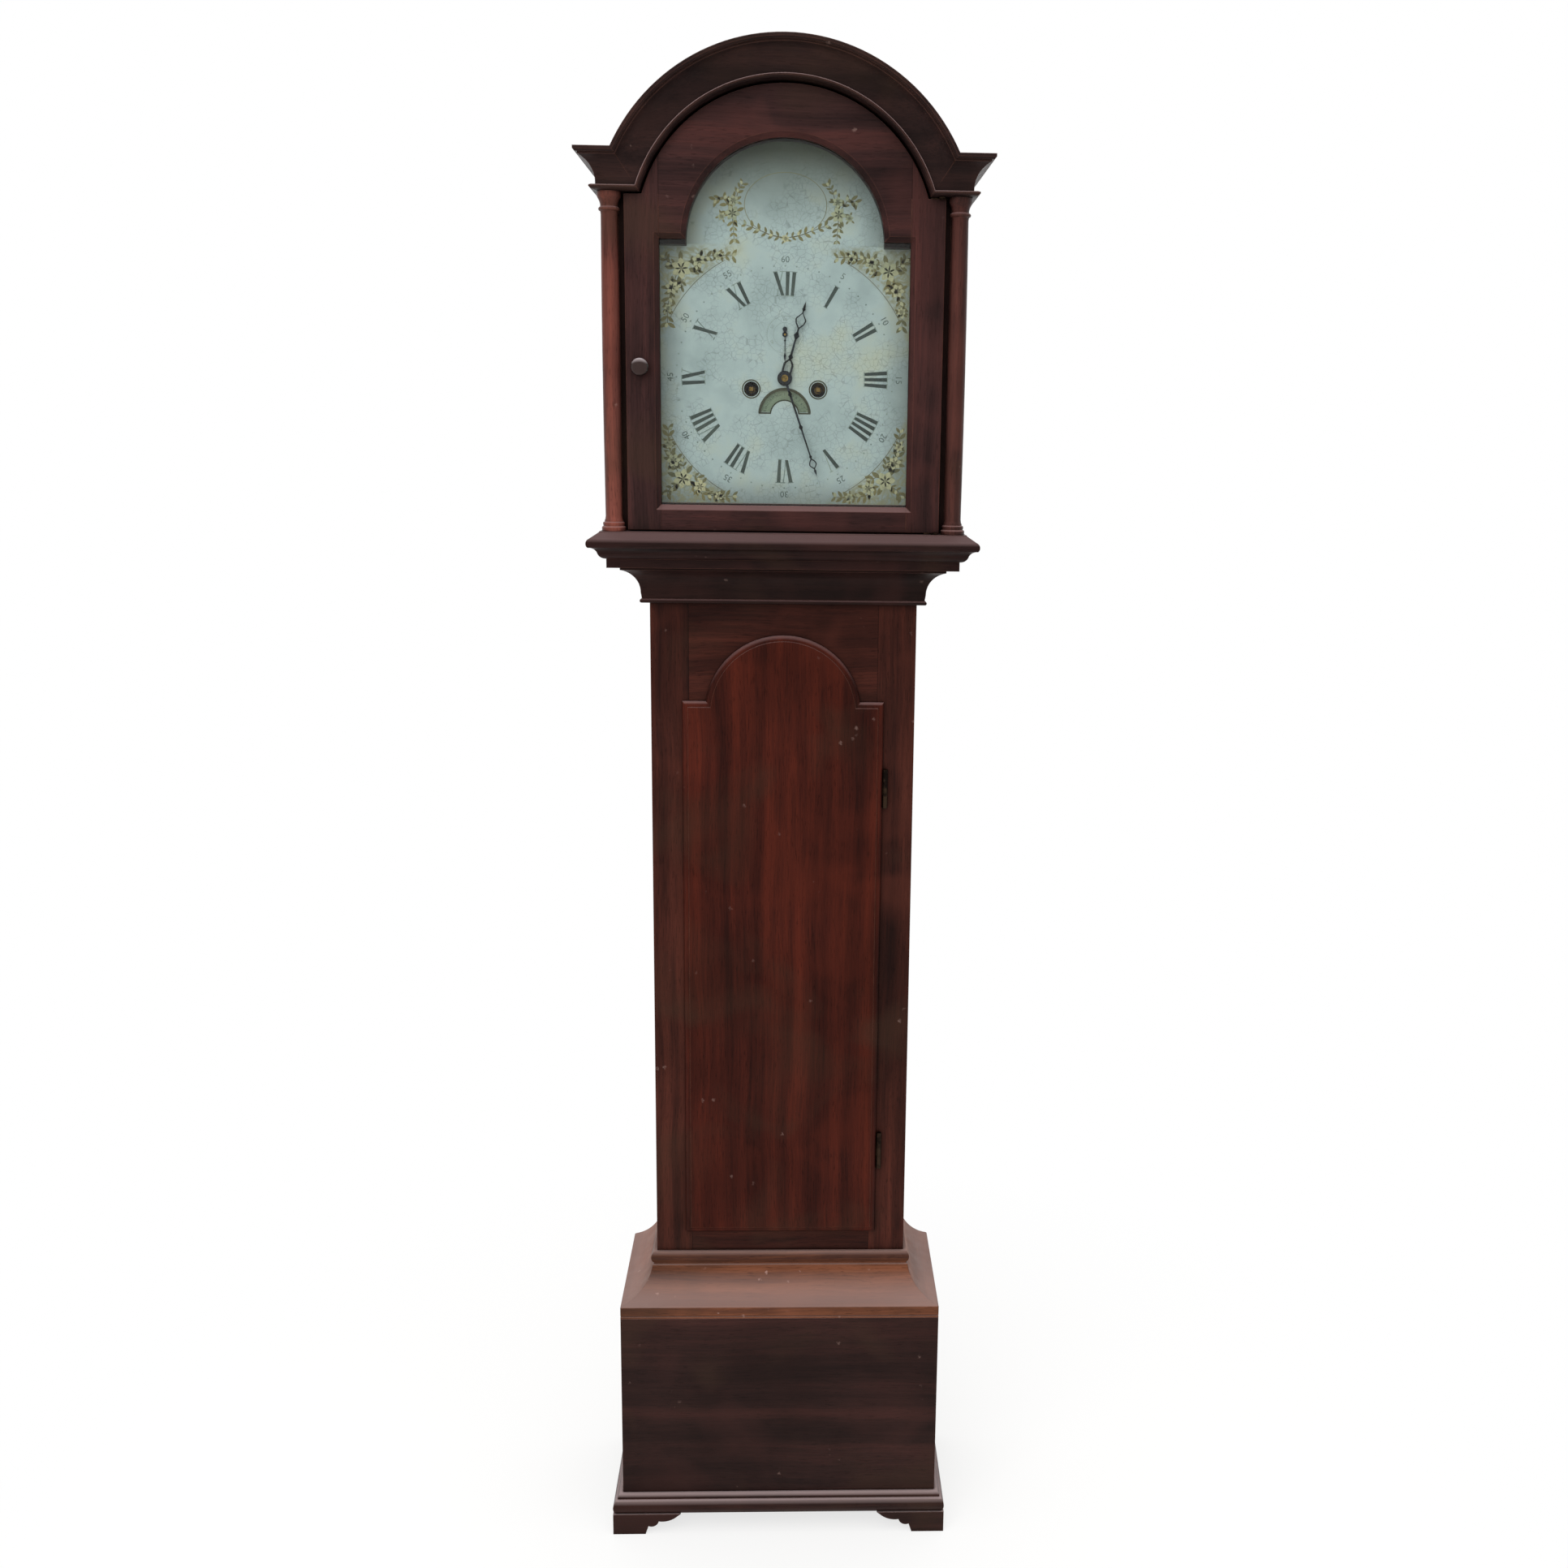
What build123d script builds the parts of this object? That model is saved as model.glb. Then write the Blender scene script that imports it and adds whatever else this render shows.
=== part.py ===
from build123d import *
import os
from math import acos, atan2, cos, degrees, hypot, pi, sin, sqrt

# Longcase clock, in millimetres: X to the viewer's right, front towards -Y, Z up from the floor.

# Case boards and plan
trunk_half = 166.7
trunk_depth = 165.0
plinth_out = 46.3
hood_out = 39.3
hood_forward = 45.0
back_board = 12.0
side_board = 14.0
frame_board = 20.0
plinth_board = 16.0
hood_board = 10.0

# Case heights
foot_height = 30.0
base_band = 26.0
plinth_top = 315.0
waist_height = 76.0
trunk_sunk = 53.0
throat_height = 46.0
hood_seat = 1314.0
shelf_height = 44.0
seat_thick = 18.0
trunk_foot = plinth_top - trunk_sunk
shelf_z = hood_seat + shelf_height

# Dial, and the heights and widths of the hood that follow from it
dial_size = 305.0
dial_lift = 30.5
dial_shoulder = 32.0
dial_thick = 1.5
dial_gap = 1.0
dial_half = dial_size / 2
dial_bottom = shelf_z + dial_lift
dial_top = dial_bottom + dial_size
dial_arch = dial_half - dial_shoulder
centre_z = dial_bottom + dial_half
arch_centre = dial_top + 1.5

# Hood arch and cornice
cornice_height = 45.0
cornice_out = 35.8
cornice_rise = 52.5
corner_width = 29.0
frieze_thick = 18.5
roof_drop = 7.0
roof_thick = 8.0
hood_gap = 1.0
hood_half = trunk_half + hood_out
soffit_radius = hood_half - corner_width
cornice_flat = arch_centre + cornice_rise

# Hood door
corner_bay = 18.5
door_face = 48.0
door_thick = 20.0
door_arch_gap = 2.5
door_gap = 2.0
sight_lap = 5.0
sight_rise = 1.5
ovolo = 6.0
rebate = 7.0
rebate_depth = 10.0
glass_thick = 3.0
knob_inset = 17.1
knob_radius = 10.5
pivot_inset = 5.0
pivot_forward = 5.0
pin_radius = 2.0
strap_thick = 1.6
door_half = hood_half - corner_bay
sight_half = dial_half - sight_lap
sight_bottom = dial_bottom + sight_rise
sight_shoulder = arch_centre + door_gap
sight_radius = dial_arch - sight_lap + 1
knob_x = knob_inset - door_half
knob_z = centre_z + 9

# Mask behind the door
mask_gap = 1.5
mask_thick = 17.5
mask_lap = 3.0

# Columns
column_inset = 1.3
column_radius = 10.75
base_radius = 14.5
base_height = 14.0
capital_radius = 14.0
capital_height = 20.0
column_x = hood_half - column_inset

# Trunk door
stile_width = 39.4
lip_shoulder_width = 28.7
door_foot = 29.0
door_head = 170.0
arch_drop = 14.6
lip_over = 8.3
lip_thick = 8.0
door_body = 12.0
door_play = 0.5
hinge_radius = 3.2
hinge_gap = 0.3
hinge_length = 50.0
hinge_inset = (111.5, 117.0)
leaf_thick = 1.4
leaf_deep = 14.0
lip_half = trunk_half - stile_width
lip_bottom = plinth_top + waist_height + door_foot
lip_shoulder = hood_seat - door_head
lip_arch = lip_half - lip_shoulder_width
lip_arch_centre = lip_shoulder - arch_drop
hinge_heights = (lip_shoulder - hinge_inset[0], lip_bottom + hinge_inset[1])

# Movement
plate_half = 82.0
plate_rise = 94.0
plate_fall = 80.0
plate_thick = 3.0
plate_space = 60.0
pillar_inset = 8.0
pillar_radius = 4.0
bolt_radius = 2.5
notch_half = 22.0
dial_feet = 28.0
winding_x = 40.5
winding_drop = 13.0
escape_rise = 51.4
pallet_rise = 77.0
date_drop = 43.0
seat_top = centre_z - plate_fall
plate_top = centre_z + plate_rise
winding_z = centre_z - winding_drop
escape_z = centre_z + escape_rise
pallet_z = centre_z + pallet_rise
date_z = centre_z - date_drop
pivot_radius = 0.9
arbor_radius = 1.6
running = 0.15
addendum = 0.8
dedendum = 1.3

# Fall of the weights
barrel_radius = 23.0
pulley_radius = 21.0
line_radius = 0.8
line_gap = 0.2
line_y = 13.0
weight_radius = 30.0
weight_height = 215.0
weight_bottom = 75.0

# Pendulum
pendulum_length = 994.0
rod_radius = 2.2
bob_radius = 50.0
bob_thick = 22.0

# Planes worked out from the sizes above
case_depth = trunk_depth + hood_forward + cornice_out
wall_y = case_depth / 2
face_y = wall_y - trunk_depth
board_y = wall_y - back_board
plinth_half = trunk_half + plinth_out
hood_inner = hood_half - hood_board
hood_y = face_y - hood_forward
seat_bottom = seat_top - seat_thick
cornice_top = cornice_flat + cornice_height
cornice_radius = soffit_radius + cornice_height
roof_radius = cornice_radius - roof_drop
roof_flat = cornice_top - roof_drop
door_y = face_y - door_face
door_back = door_y + door_thick
mask_y = door_back + mask_gap
dial_y = mask_y + mask_thick + dial_gap
plate_y = dial_y + dial_thick + dial_feet
inner_y = plate_y + plate_thick
rear_y = inner_y + plate_space
outer_y = rear_y + plate_thick
door_radius = soffit_radius - door_arch_gap
door_bottom = shelf_z + door_gap
door_shoulder = cornice_flat - door_gap

parts = {}


def add(node, *shapes):
    """Put the solids of each shape into a node."""
    parts.setdefault(node, []).extend(s for shape in shapes for s in shape.solids())


def block(x0, x1, y0, y1, z0, z1):
    """Box between six planes."""
    middle = ((x0 + x1) / 2, (y0 + y1) / 2, (z0 + z1) / 2)
    return Pos(*middle) * Box(x1 - x0, y1 - y0, z1 - z0)


def pair(shape):
    """A shape and its mirror image across the clock."""
    return [shape, mirror(shape, Plane.YZ)]


def slab(face, y0, y1):
    """A face drawn in X and Z, made solid between two depths."""
    return extrude(Plane.XZ.offset(-y1) * face, y1 - y0)


def bar(x, z, radius, y0, y1):
    """Round bar along the depth of the clock."""
    return slab(Pos(x, z) * Circle(radius), y0, y1)


def post(x, y, radius, z0, z1):
    """Round upright bar."""
    return Pos(x, y, (z0 + z1) / 2) * Cylinder(radius, z1 - z0)


def profile(start, *moves):
    """Closed face: each move is a point for a straight, or (through, end) for an arc."""
    edges = []
    here = start
    for move in moves:
        if isinstance(move[0], tuple):
            through, there = move
            edges.append(ThreePointArc(here, through, there))
        else:
            there = move
            edges.append(Line(here, there))
        here = there
    if here != start:
        edges.append(Line(here, start))
    return make_face(edges)


def polygon(*points):
    """Closed straight-sided face."""
    return make_face(Polyline(*points, close=True))


def break_arch(half, bottom, shoulder, radius, centre):
    """Square-shouldered panel with a round arch on top."""
    foot = sqrt(radius**2 - (shoulder - centre) ** 2)
    return profile(
        (-half, bottom),
        (half, bottom),
        (half, shoulder),
        (foot, shoulder),
        ((0, centre + radius), (-foot, shoulder)),
        (-half, shoulder),
    )


def moulded(outline, half, front, back, inside, outside):
    """A mitred run of moulding: the front length and two returns."""
    bounds = outline.bounding_box()
    low = bounds.min.Y - 1
    tall = bounds.max.Y - bounds.min.Y + 2
    far = half + outside
    lead = front - outside
    near = half - inside
    step = front + inside
    across = Plane((far, front, 0), x_dir=(0, -1, 0), z_dir=(-1, 0, 0))
    along = Plane((half, back, 0), x_dir=(1, 0, 0), z_dir=(0, -1, 0))
    front_plan = polygon((-far, lead), (far, lead), (near, step), (-near, step))
    side_plan = polygon((far, lead), (far, back), (near, back), (near, step))
    front_run = extrude(across * outline, 2 * far)
    side_run = extrude(along * outline, back - lead)
    front_run = front_run & Pos(0, 0, low) * extrude(front_plan, tall)
    side_run = side_run & Pos(0, 0, low) * extrude(side_plan, tall)
    return [front_run, *pair(side_run)]


def toothed(count, module, phase):
    """Face of a toothed wheel or pinion, a tooth pointing along the phase angle."""
    pitch = count * module / 2
    points = []
    for i in range(count):
        angle = phase + 2 * pi * i / count
        tip = pitch + addendum * module
        root = pitch - dedendum * module
        points.append((tip * cos(angle), tip * sin(angle)))
        between = angle + pi / count
        points.append((root * cos(between), root * sin(between)))
    return polygon(*points)


def meshed(place, count, phase, other, other_count):
    """Phase angle of the wheel at other that meshes with the wheel at place."""
    along = atan2(other[1] - place[1], other[0] - place[0])
    return along + pi - pi / other_count + (along - phase) * count / other_count


def crossed_wheel(place, count, module, phase, y0, y1, bore, arms=4):
    """Wheel with a toothed rim, a hub and crossed-out arms."""
    rim = count * module / 2 - (dedendum + 1.6) * module
    hub = max(bore * 2, rim * 0.26)
    arm = rim * 0.16
    web = Circle(rim) - Circle(hub)
    for i in range(arms):
        web -= Rot(0, 0, 360 * i / arms + 45) * Pos(rim / 2 + hub / 2, 0) * Rectangle(rim, arm)
    face = toothed(count, module, phase) - web - Circle(bore)
    return slab(Pos(*place) * face, y0, y1)


def pinion(place, count, module, phase, y0, y1, bore=0.0):
    """Solid pinion or wheel, with a hole where it has a bore."""
    face = toothed(count, module, phase)
    if bore:
        face -= Circle(bore)
    return slab(Pos(*place) * face, y0, y1)


# Case: a backboard from the feet to the hood arch, with ears glued on behind plinth and hood
def backboard():
    ear = hood_inner - hood_gap
    radius = roof_radius - roof_thick - hood_gap
    shoulder = roof_flat - roof_thick - hood_gap
    low = shelf_z + hood_gap
    arched = slab(break_arch(ear, low, shoulder, radius, arch_centre), board_y, wall_y)
    middle = block(-trunk_half, trunk_half, board_y, wall_y, foot_height, arch_centre + radius)
    below = block(-trunk_half, trunk_half, board_y, wall_y, foot_height, low)
    plinth_ear = block(trunk_half, plinth_half, board_y, wall_y, foot_height, plinth_top)
    return [(arched & middle) + below, *pair(plinth_ear), arched - middle]


# Trunk: two sides that run up as cheeks for the seatboard, and a front frame with an arched opening
def trunk_sides():
    start = face_y + frame_board
    side = block(trunk_half - side_board, trunk_half, start, board_y, trunk_foot, seat_bottom)
    return pair(side)


def trunk_frame():
    half = lip_half - lip_over
    low = lip_bottom + lip_over
    shoulder = lip_shoulder - lip_over
    radius = lip_arch - lip_over
    back = face_y + frame_board
    opening = slab(break_arch(half, low, shoulder, radius, lip_arch_centre), face_y - 1, back + 1)
    stile = block(half, trunk_half, face_y, back, trunk_foot, hood_seat)
    for height in hinge_heights:
        slot = leaf_thick / 2 + 0.05
        z0 = height - hinge_length / 2 - 0.1
        z1 = height + hinge_length / 2 + 0.1
        stile -= block(hinge_x - slot, hinge_x + slot, face_y, face_y + leaf_deep, z0, z1)
    left = block(-trunk_half, -half, face_y, back, trunk_foot, hood_seat)
    top_rail = block(-half, half, face_y, back, shoulder, hood_seat) - opening
    low_rail = block(-half, half, face_y, back, trunk_foot, low)
    return [stile, left, top_rail, low_rail]


hinge_x = lip_half + hinge_radius + hinge_gap
hinge_y = face_y - hinge_radius - 0.2


def trunk_door():
    """Lipped arched door: a moulded lip in front of the frame and a body inside the opening."""
    lip_face = break_arch(lip_half, lip_bottom, lip_shoulder, lip_arch, lip_arch_centre)
    lip = slab(lip_face, face_y - lip_thick, face_y)
    front = lip.faces().sort_by(Axis.Y)[0]
    lip = chamfer(front.edges(), ovolo)
    inset = lip_over + door_play
    body_face = break_arch(
        lip_half - inset,
        lip_bottom + inset,
        lip_shoulder - inset,
        lip_arch - inset,
        lip_arch_centre,
    )
    return lip + slab(body_face, face_y, face_y + door_body)


def trunk_hinges():
    """Butt hinges: fixed leaf with two outer knuckles and the pin, door leaf with the middle knuckle."""
    third = hinge_length / 3
    for height in hinge_heights:
        z0 = height - hinge_length / 2
        z1 = height + hinge_length / 2
        x0 = hinge_x - leaf_thick / 2
        x1 = hinge_x + leaf_thick / 2
        leaf = block(x0, x1, face_y, face_y + leaf_deep - 0.1, z0, z1)
        for a, b in ((z0, z0 + third), (z1 - third, z1)):
            leaf += post(hinge_x, hinge_y, hinge_radius, a, b)
            leaf += block(x0, x1, hinge_y, face_y, a, b)
        leaf += post(hinge_x, hinge_y, hinge_radius / 2, z0, z1)
        add("trunk_hinge_leaves", leaf)
        knuckle = post(hinge_x, hinge_y, hinge_radius, z0 + third + 0.2, z1 - third - 0.2)
        plate = block(
            lip_half,
            hinge_x,
            hinge_y - leaf_thick / 2,
            hinge_y + leaf_thick / 2,
            z0 + third + 0.2,
            z1 - third - 0.2,
        )
        bore = post(hinge_x, hinge_y, hinge_radius / 2 + running, z0, z1)
        add("trunk_door_knuckles", knuckle + plate - bore)


# Plinth: boards, glued blocks that hold the trunk, base moulding and bracket feet
def plinth():
    front_y = face_y - plinth_out
    inner = plinth_half - side_board
    back = front_y + plinth_board
    add("plinth_boards", block(-plinth_half, plinth_half, front_y, back, foot_height, plinth_top))
    side = block(inner, plinth_half, back, board_y, foot_height, plinth_top)
    add("plinth_boards", *pair(side))
    floor_z = foot_height + base_band - side_board
    floor = block(-inner, inner, back, board_y, floor_z, floor_z + side_board)
    add("plinth_inside", floor)
    glued = plinth_top - trunk_foot - 8
    long = trunk_depth * 0.3
    for y0 in (face_y + frame_board, board_y - long * 1.2):
        packing = block(trunk_half, inner, y0, y0 + long, trunk_foot, trunk_foot + glued)
        add("plinth_inside", *pair(packing))
    wide = trunk_half * 0.42
    front_block = block(-wide, wide, back, face_y, trunk_foot, trunk_foot + glued)
    add("plinth_inside", front_block)


def base_moulding():
    z0 = foot_height
    z1 = foot_height + 18
    out = 13.0
    outline = profile(
        (0, z0),
        (out - 3, z0),
        ((out, (z0 + z1) / 2), (out - 3, z1)),
        (out - 6, z1 + 1),
        (out - 6, z1 + 4),
        ((out - 8, z1 + 7), (0, z1 + 8)),
    )
    return moulded(outline, plinth_half, face_y - plinth_out, wall_y, 0, out)


def bracket_feet():
    """Flat scrolled brackets, mitred at the two front corners, straight at the back."""
    out = plinth_half + 13.0
    front = face_y - plinth_out - 13.0
    thick = 15.0
    flat = 44.0
    reach = 92.0
    scroll = profile(
        (0, 0),
        (flat, 0),
        (flat + 4, 12),
        ((flat + 14, 13), (flat + 18, 19)),
        ((flat + 32, 20), (flat + 44, 27)),
        (reach, foot_height),
        (0, foot_height),
    )
    front_plane = Plane((-out, front, 0), x_dir=(1, 0, 0), z_dir=(0, -1, 0))
    side_plane = Plane((-out, front, 0), x_dir=(0, 1, 0), z_dir=(1, 0, 0))
    back_plane = Plane((-out, wall_y, 0), x_dir=(0, -1, 0), z_dir=(-1, 0, 0))
    corner = [(-out, front), (-out + reach, front), (-out + reach, front + thick)]
    keep_front = extrude(polygon(*corner, (-out + thick, front + thick)), foot_height)
    front_foot = extrude(front_plane * scroll, -thick) & keep_front
    side = [(-out, front), (-out + thick, front + thick), (-out + thick, front + reach)]
    keep_side = extrude(polygon(*side, (-out, front + reach)), foot_height)
    side_foot = extrude(side_plane * scroll, thick) & keep_side
    rear_foot = extrude(back_plane * scroll, -thick)
    return [*pair(front_foot), *pair(side_foot), *pair(rear_foot)]


def waist_moulding():
    """Bead, hollow and fascia that step the trunk out to the plinth."""
    z0 = plinth_top
    z1 = z0 + waist_height
    out = plinth_out
    outline = profile(
        (0, z0),
        (out, z0),
        (out, z0 + 2.4),
        (out - 1.4, z0 + 3.2),
        (out, z0 + 4.0),
        (out, z0 + 16),
        (out - 2, z0 + 17),
        ((out - 30, z0 + 33), (6.3, z1 - 19)),
        (4.5, z1 - 18),
        (4.5, z1 - 16),
        ((7.8, z1 - 8), (4.5, z1)),
        (0, z1),
    )
    return moulded(outline, trunk_half, face_y, wall_y, 0, out)


def throat_moulding():
    """Hollow under the hood with a small bead below."""
    z1 = hood_seat
    z0 = z1 - throat_height
    outline = profile(
        (0, z0),
        (9.0, z0),
        ((11.6, z0 + 2.5), (9.0, z0 + 5)),
        (10.3, z0 + 13),
        ((18.0, z0 + 33), (33.3, z1 - 4)),
        (33.3, z1),
        (0, z1),
    )
    return moulded(outline, trunk_half, face_y, wall_y, 0, 33.3)


# Hood: a moulded base, sides, a frieze board cut to the arch, cornice, roof, mask and columns
def hood_base():
    z0 = hood_seat
    z1 = shelf_z
    deep = hood_half - trunk_half - 1.3
    outline = profile(
        (-deep, z0),
        (8, z0),
        (8, z0 + 11),
        ((14, z0 + 13), (18, z0 + 19)),
        ((23, z0 + 24), (28, z0 + 25)),
        ((30, z0 + 31), (26, z0 + 36)),
        (15.5, z1 - 1),
        (15, z1),
        (-deep, z1),
    )
    return moulded(outline, hood_half, hood_y, wall_y, deep, 30)


def cornice_outline():
    """Bead, hollow and square tip, drawn outwards from the hood and up from the soffit."""
    top = cornice_height
    tip = cornice_out
    return profile(
        (0, 0),
        (13, 0),
        (18, 1.4),
        (20, 3.2),
        (20, 4.8),
        (17.5, 6),
        (13, 6),
        (13, 8),
        ((18, 26), (tip - 5, top - 8)),
        (tip - 5, top - 6),
        (tip - 2.5, top - 6),
        (tip, top - 3.5),
        (tip, top),
        (0, top),
    )


def hood_cornice():
    """Level cornice with returns and an arched length that meets it on two raking mitres."""
    lift = arch_centre
    outline = cornice_outline()
    level = Pos(0, cornice_flat) * outline
    front, right, left = moulded(level, hood_half, hood_y, wall_y, 0, cornice_out)
    foot_x = sqrt(soffit_radius**2 - (cornice_flat - lift) ** 2)
    top_x = sqrt(cornice_radius**2 - (cornice_top - lift) ** 2)
    slope = (top_x - foot_x) / cornice_height
    low = cornice_flat - 10
    high = cornice_top + 10
    low_x = foot_x - 10 * slope
    high_x = top_x + 10 * slope
    wide = hood_half + cornice_out + 5
    outer = polygon((low_x, low), (wide, low), (wide, high), (high_x, high))
    keep = slab(outer, hood_y - cornice_out - 1, hood_y + 1)
    flats = pair(front & keep)
    ring_plane = Plane((0, hood_y, lift), x_dir=(0, -1, 0), z_dir=(-1, 0, 0))
    ring_face = ring_plane * Pos(0, soffit_radius) * outline
    ring = revolve(ring_face, Axis((0, 0, lift), (0, 1, 0)), 360)
    peak = cornice_radius + 20
    inner = polygon(
        (-low_x, low),
        (low_x, low),
        (high_x, high),
        (high_x, lift + peak),
        (-high_x, lift + peak),
        (-high_x, high),
    )
    arch = ring & slab(inner, hood_y - cornice_out - 1, hood_y + 1)
    return [arch, *flats, right, left]


def frieze():
    """Front board of the hood, cut to the soffit arch."""
    back = hood_y + frieze_thick
    foot = sqrt(soffit_radius**2 - (cornice_flat - arch_centre) ** 2)
    crown = sqrt(roof_radius**2 - (roof_flat - arch_centre) ** 2)
    face = profile(
        (foot, cornice_flat),
        (hood_half, cornice_flat),
        (hood_half, roof_flat),
        (crown, roof_flat),
        ((0, arch_centre + roof_radius), (-crown, roof_flat)),
        (-hood_half, roof_flat),
        (-hood_half, cornice_flat),
        (-foot, cornice_flat),
        ((0, arch_centre + soffit_radius), (foot, cornice_flat)),
    )
    return slab(face, hood_y, back)


def hood_sides():
    start = hood_y + frieze_thick
    top = roof_flat - roof_thick
    return pair(block(hood_inner, hood_half, start, wall_y, shelf_z, top))


def hood_roof():
    """Arched boards and the two narrow level boards beside them."""
    start = hood_y + frieze_thick
    low = roof_flat - roof_thick
    shell = Circle(roof_radius) - Circle(roof_radius - roof_thick)
    face = Pos(0, arch_centre) * shell
    above = 2 * roof_radius
    wide = roof_radius * 1.2
    crown = sqrt(roof_radius**2 - (roof_flat - arch_centre) ** 2)
    keep = polygon(
        (-crown, low), (crown, low), (crown, roof_flat), (wide, low + above),
        (-wide, low + above), (-crown, roof_flat),
    )
    arch = slab(face & keep, start, wall_y)
    level = block(crown, hood_half, start, wall_y, low, roof_flat)
    return [arch, *pair(level)]


def hood_mask():
    """Board behind the hood door, open to the dial."""
    gap = 0.3
    outer = break_arch(
        hood_inner,
        shelf_z,
        roof_flat - roof_thick - gap,
        roof_radius - roof_thick - gap,
        arch_centre,
    )
    lap = mask_lap
    inner = break_arch(
        dial_half - lap,
        dial_bottom + lap,
        dial_top - 1,
        dial_arch - lap,
        arch_centre,
    )
    return slab(outer - inner, mask_y, mask_y + mask_thick)


def columns():
    """Turned shafts between bases and capitals at the two front corners."""
    z0 = shelf_z
    z1 = shelf_z + base_height
    z3 = cornice_flat
    z2 = z3 - capital_height
    spot = (column_x, hood_y, 0)
    shaft = post(column_x, hood_y, column_radius, z1, z2)
    base = profile(
        (0, z0),
        (base_radius, z0),
        (base_radius, z0 + 5),
        (column_radius + 1.4, z0 + 9),
        (column_radius, z1),
        (0, z1),
    )
    capital = profile(
        (0, z2),
        (column_radius + 1.6, z2),
        (column_radius + 1.6, z2 + 3),
        (column_radius, z2 + 5),
        (capital_radius, z3 - 4),
        (capital_radius, z3),
        (0, z3),
    )
    turn = Plane(spot, x_dir=(1, 0, 0), z_dir=(0, -1, 0))
    axis = Axis(spot, (0, 0, 1))
    add("hood_columns", *pair(shaft))
    add("column_turnings", *pair(revolve(turn * base, axis, 360)))
    add("column_turnings", *pair(revolve(turn * capital, axis, 360)))


# Hood door: two stiles, a bottom rail and an arched head, with the glass in a rebate behind
def hood_door():
    outer = break_arch(door_half, door_bottom, door_shoulder, door_radius, arch_centre)
    sight = break_arch(sight_half, sight_bottom, sight_shoulder, sight_radius, arch_centre)
    frame = slab(outer - sight, door_y, door_back)
    front = frame.faces().sort_by(Axis.Y)[0]
    ring = front.inner_wires()[0]
    frame = chamfer(ring.edges(), ovolo)
    seat = break_arch(
        sight_half + rebate,
        sight_bottom - rebate,
        sight_shoulder + rebate,
        sight_radius + rebate,
        arch_centre,
    )
    glass_y = door_back - rebate_depth
    frame -= slab(seat, glass_y, door_back)
    stile_box = block(sight_half, door_half, door_y, door_back, door_bottom, door_shoulder)
    right = frame & stile_box
    left = frame & mirror(stile_box, Plane.YZ)
    rail_box = block(-sight_half, sight_half, door_y, door_back, door_bottom, sight_bottom)
    rail = frame & rail_box
    top = arch_centre + door_radius
    head_box = block(-door_half, door_half, door_y, door_back, sight_bottom + 20, top)
    head = (frame & head_box) - stile_box - mirror(stile_box, Plane.YZ)
    add("hood_door_frame", right, left, rail, head)
    play = 1.0
    pane = break_arch(
        sight_half + rebate - play,
        sight_bottom - rebate + play,
        sight_shoulder + rebate - play,
        sight_radius + rebate - play,
        arch_centre,
    )
    add("hood_door_glass", slab(pane, glass_y, glass_y + glass_thick))
    knob = profile(
        (0, 0),
        (5.5, 0),
        (4.2, 5),
        (knob_radius - 1.5, 9.5),
        (knob_radius, 12.5),
        (knob_radius - 2.5, 17),
        (0, 18.5),
    )
    turn = Plane((knob_x, door_y, knob_z), x_dir=(1, 0, 0), z_dir=(0, 0, 1))
    face = turn * mirror(knob, Plane.XZ)
    add("hood_door_knob", revolve(face, Axis((knob_x, door_y, knob_z), (0, 1, 0)), 360))


pivot_x = door_half - pivot_inset
pivot_y = door_y - pivot_forward


def hood_door_straps():
    """Cranked brass straps under and over the door, turning on pins in the hood."""
    reach = 17.0
    ear = 4.2
    plan = (
        Pos(pivot_x, pivot_y) * Circle(ear)
        + Pos(pivot_x, (pivot_y + door_y) / 2) * Rectangle(2 * ear, pivot_forward)
        + Pos(pivot_x - reach / 2 + ear, door_y + 6) * Rectangle(reach, 12)
        - Pos(pivot_x, pivot_y) * Circle(pin_radius + running)
    )
    for z0 in (door_bottom - strap_thick, door_shoulder):
        add("hood_door_straps", Pos(0, 0, z0) * extrude(plan, strap_thick))
    add("hood_door_pins", post(pivot_x, pivot_y, pin_radius, shelf_z, door_bottom + 1))
    add("hood_door_pins", post(pivot_x, pivot_y, pin_radius, door_shoulder - 1, cornice_flat))


# Dial: break-arch sheet with its holes, on four feet
def dial():
    face = break_arch(dial_half, dial_bottom, dial_top, dial_arch, arch_centre)
    for side in (-1, 1):
        face -= Pos(side * winding_x, winding_z) * Circle(9)
    face -= Pos(0, centre_z) * Circle(6.5)
    face -= Pos(0, escape_z) * Circle(2.4)
    mouth = Circle(29) - Circle(18) - Pos(0, -28) * Rectangle(80, 62)
    face -= Pos(0, date_z) * mouth
    add("dial", slab(face, dial_y, dial_y + dial_thick))
    for x in (-70, 70):
        for z in (seat_top + 9, plate_top - 9):
            add("dial", bar(x, z, 3.2, dial_y + dial_thick, plate_y))


going = (winding_x, winding_z)
strike = (-winding_x, winding_z)
centre = (0.0, centre_z)
escape = (0.0, escape_z)
pallet = (0.0, pallet_z)
great_teeth = 96
centre_leaves = 8
centre_teeth = 60
third_leaves = 8
third_teeth = 56
escape_leaves = 7
escape_teeth = 30
escape_radius = 17.0
great_module = 2 * hypot(winding_x, centre_z - winding_z) / (great_teeth + centre_leaves)
centre_module = 0.85
third_module = 0.80
great_y = inner_y + 3.5
centre_y = rear_y - 6.0
third_y = inner_y + 42.5
escape_y = inner_y + 26.0


def third_place():
    """Where the third arbor stands: in mesh with the centre wheel and the escape pinion."""
    near = centre_module * (centre_teeth + third_leaves) / 2
    far = third_module * (third_teeth + escape_leaves) / 2
    rise = escape_z - centre_z
    up = (near**2 - far**2 + rise**2) / (2 * rise)
    return (sqrt(near**2 - up**2), centre_z + up)


third = third_place()

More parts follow.
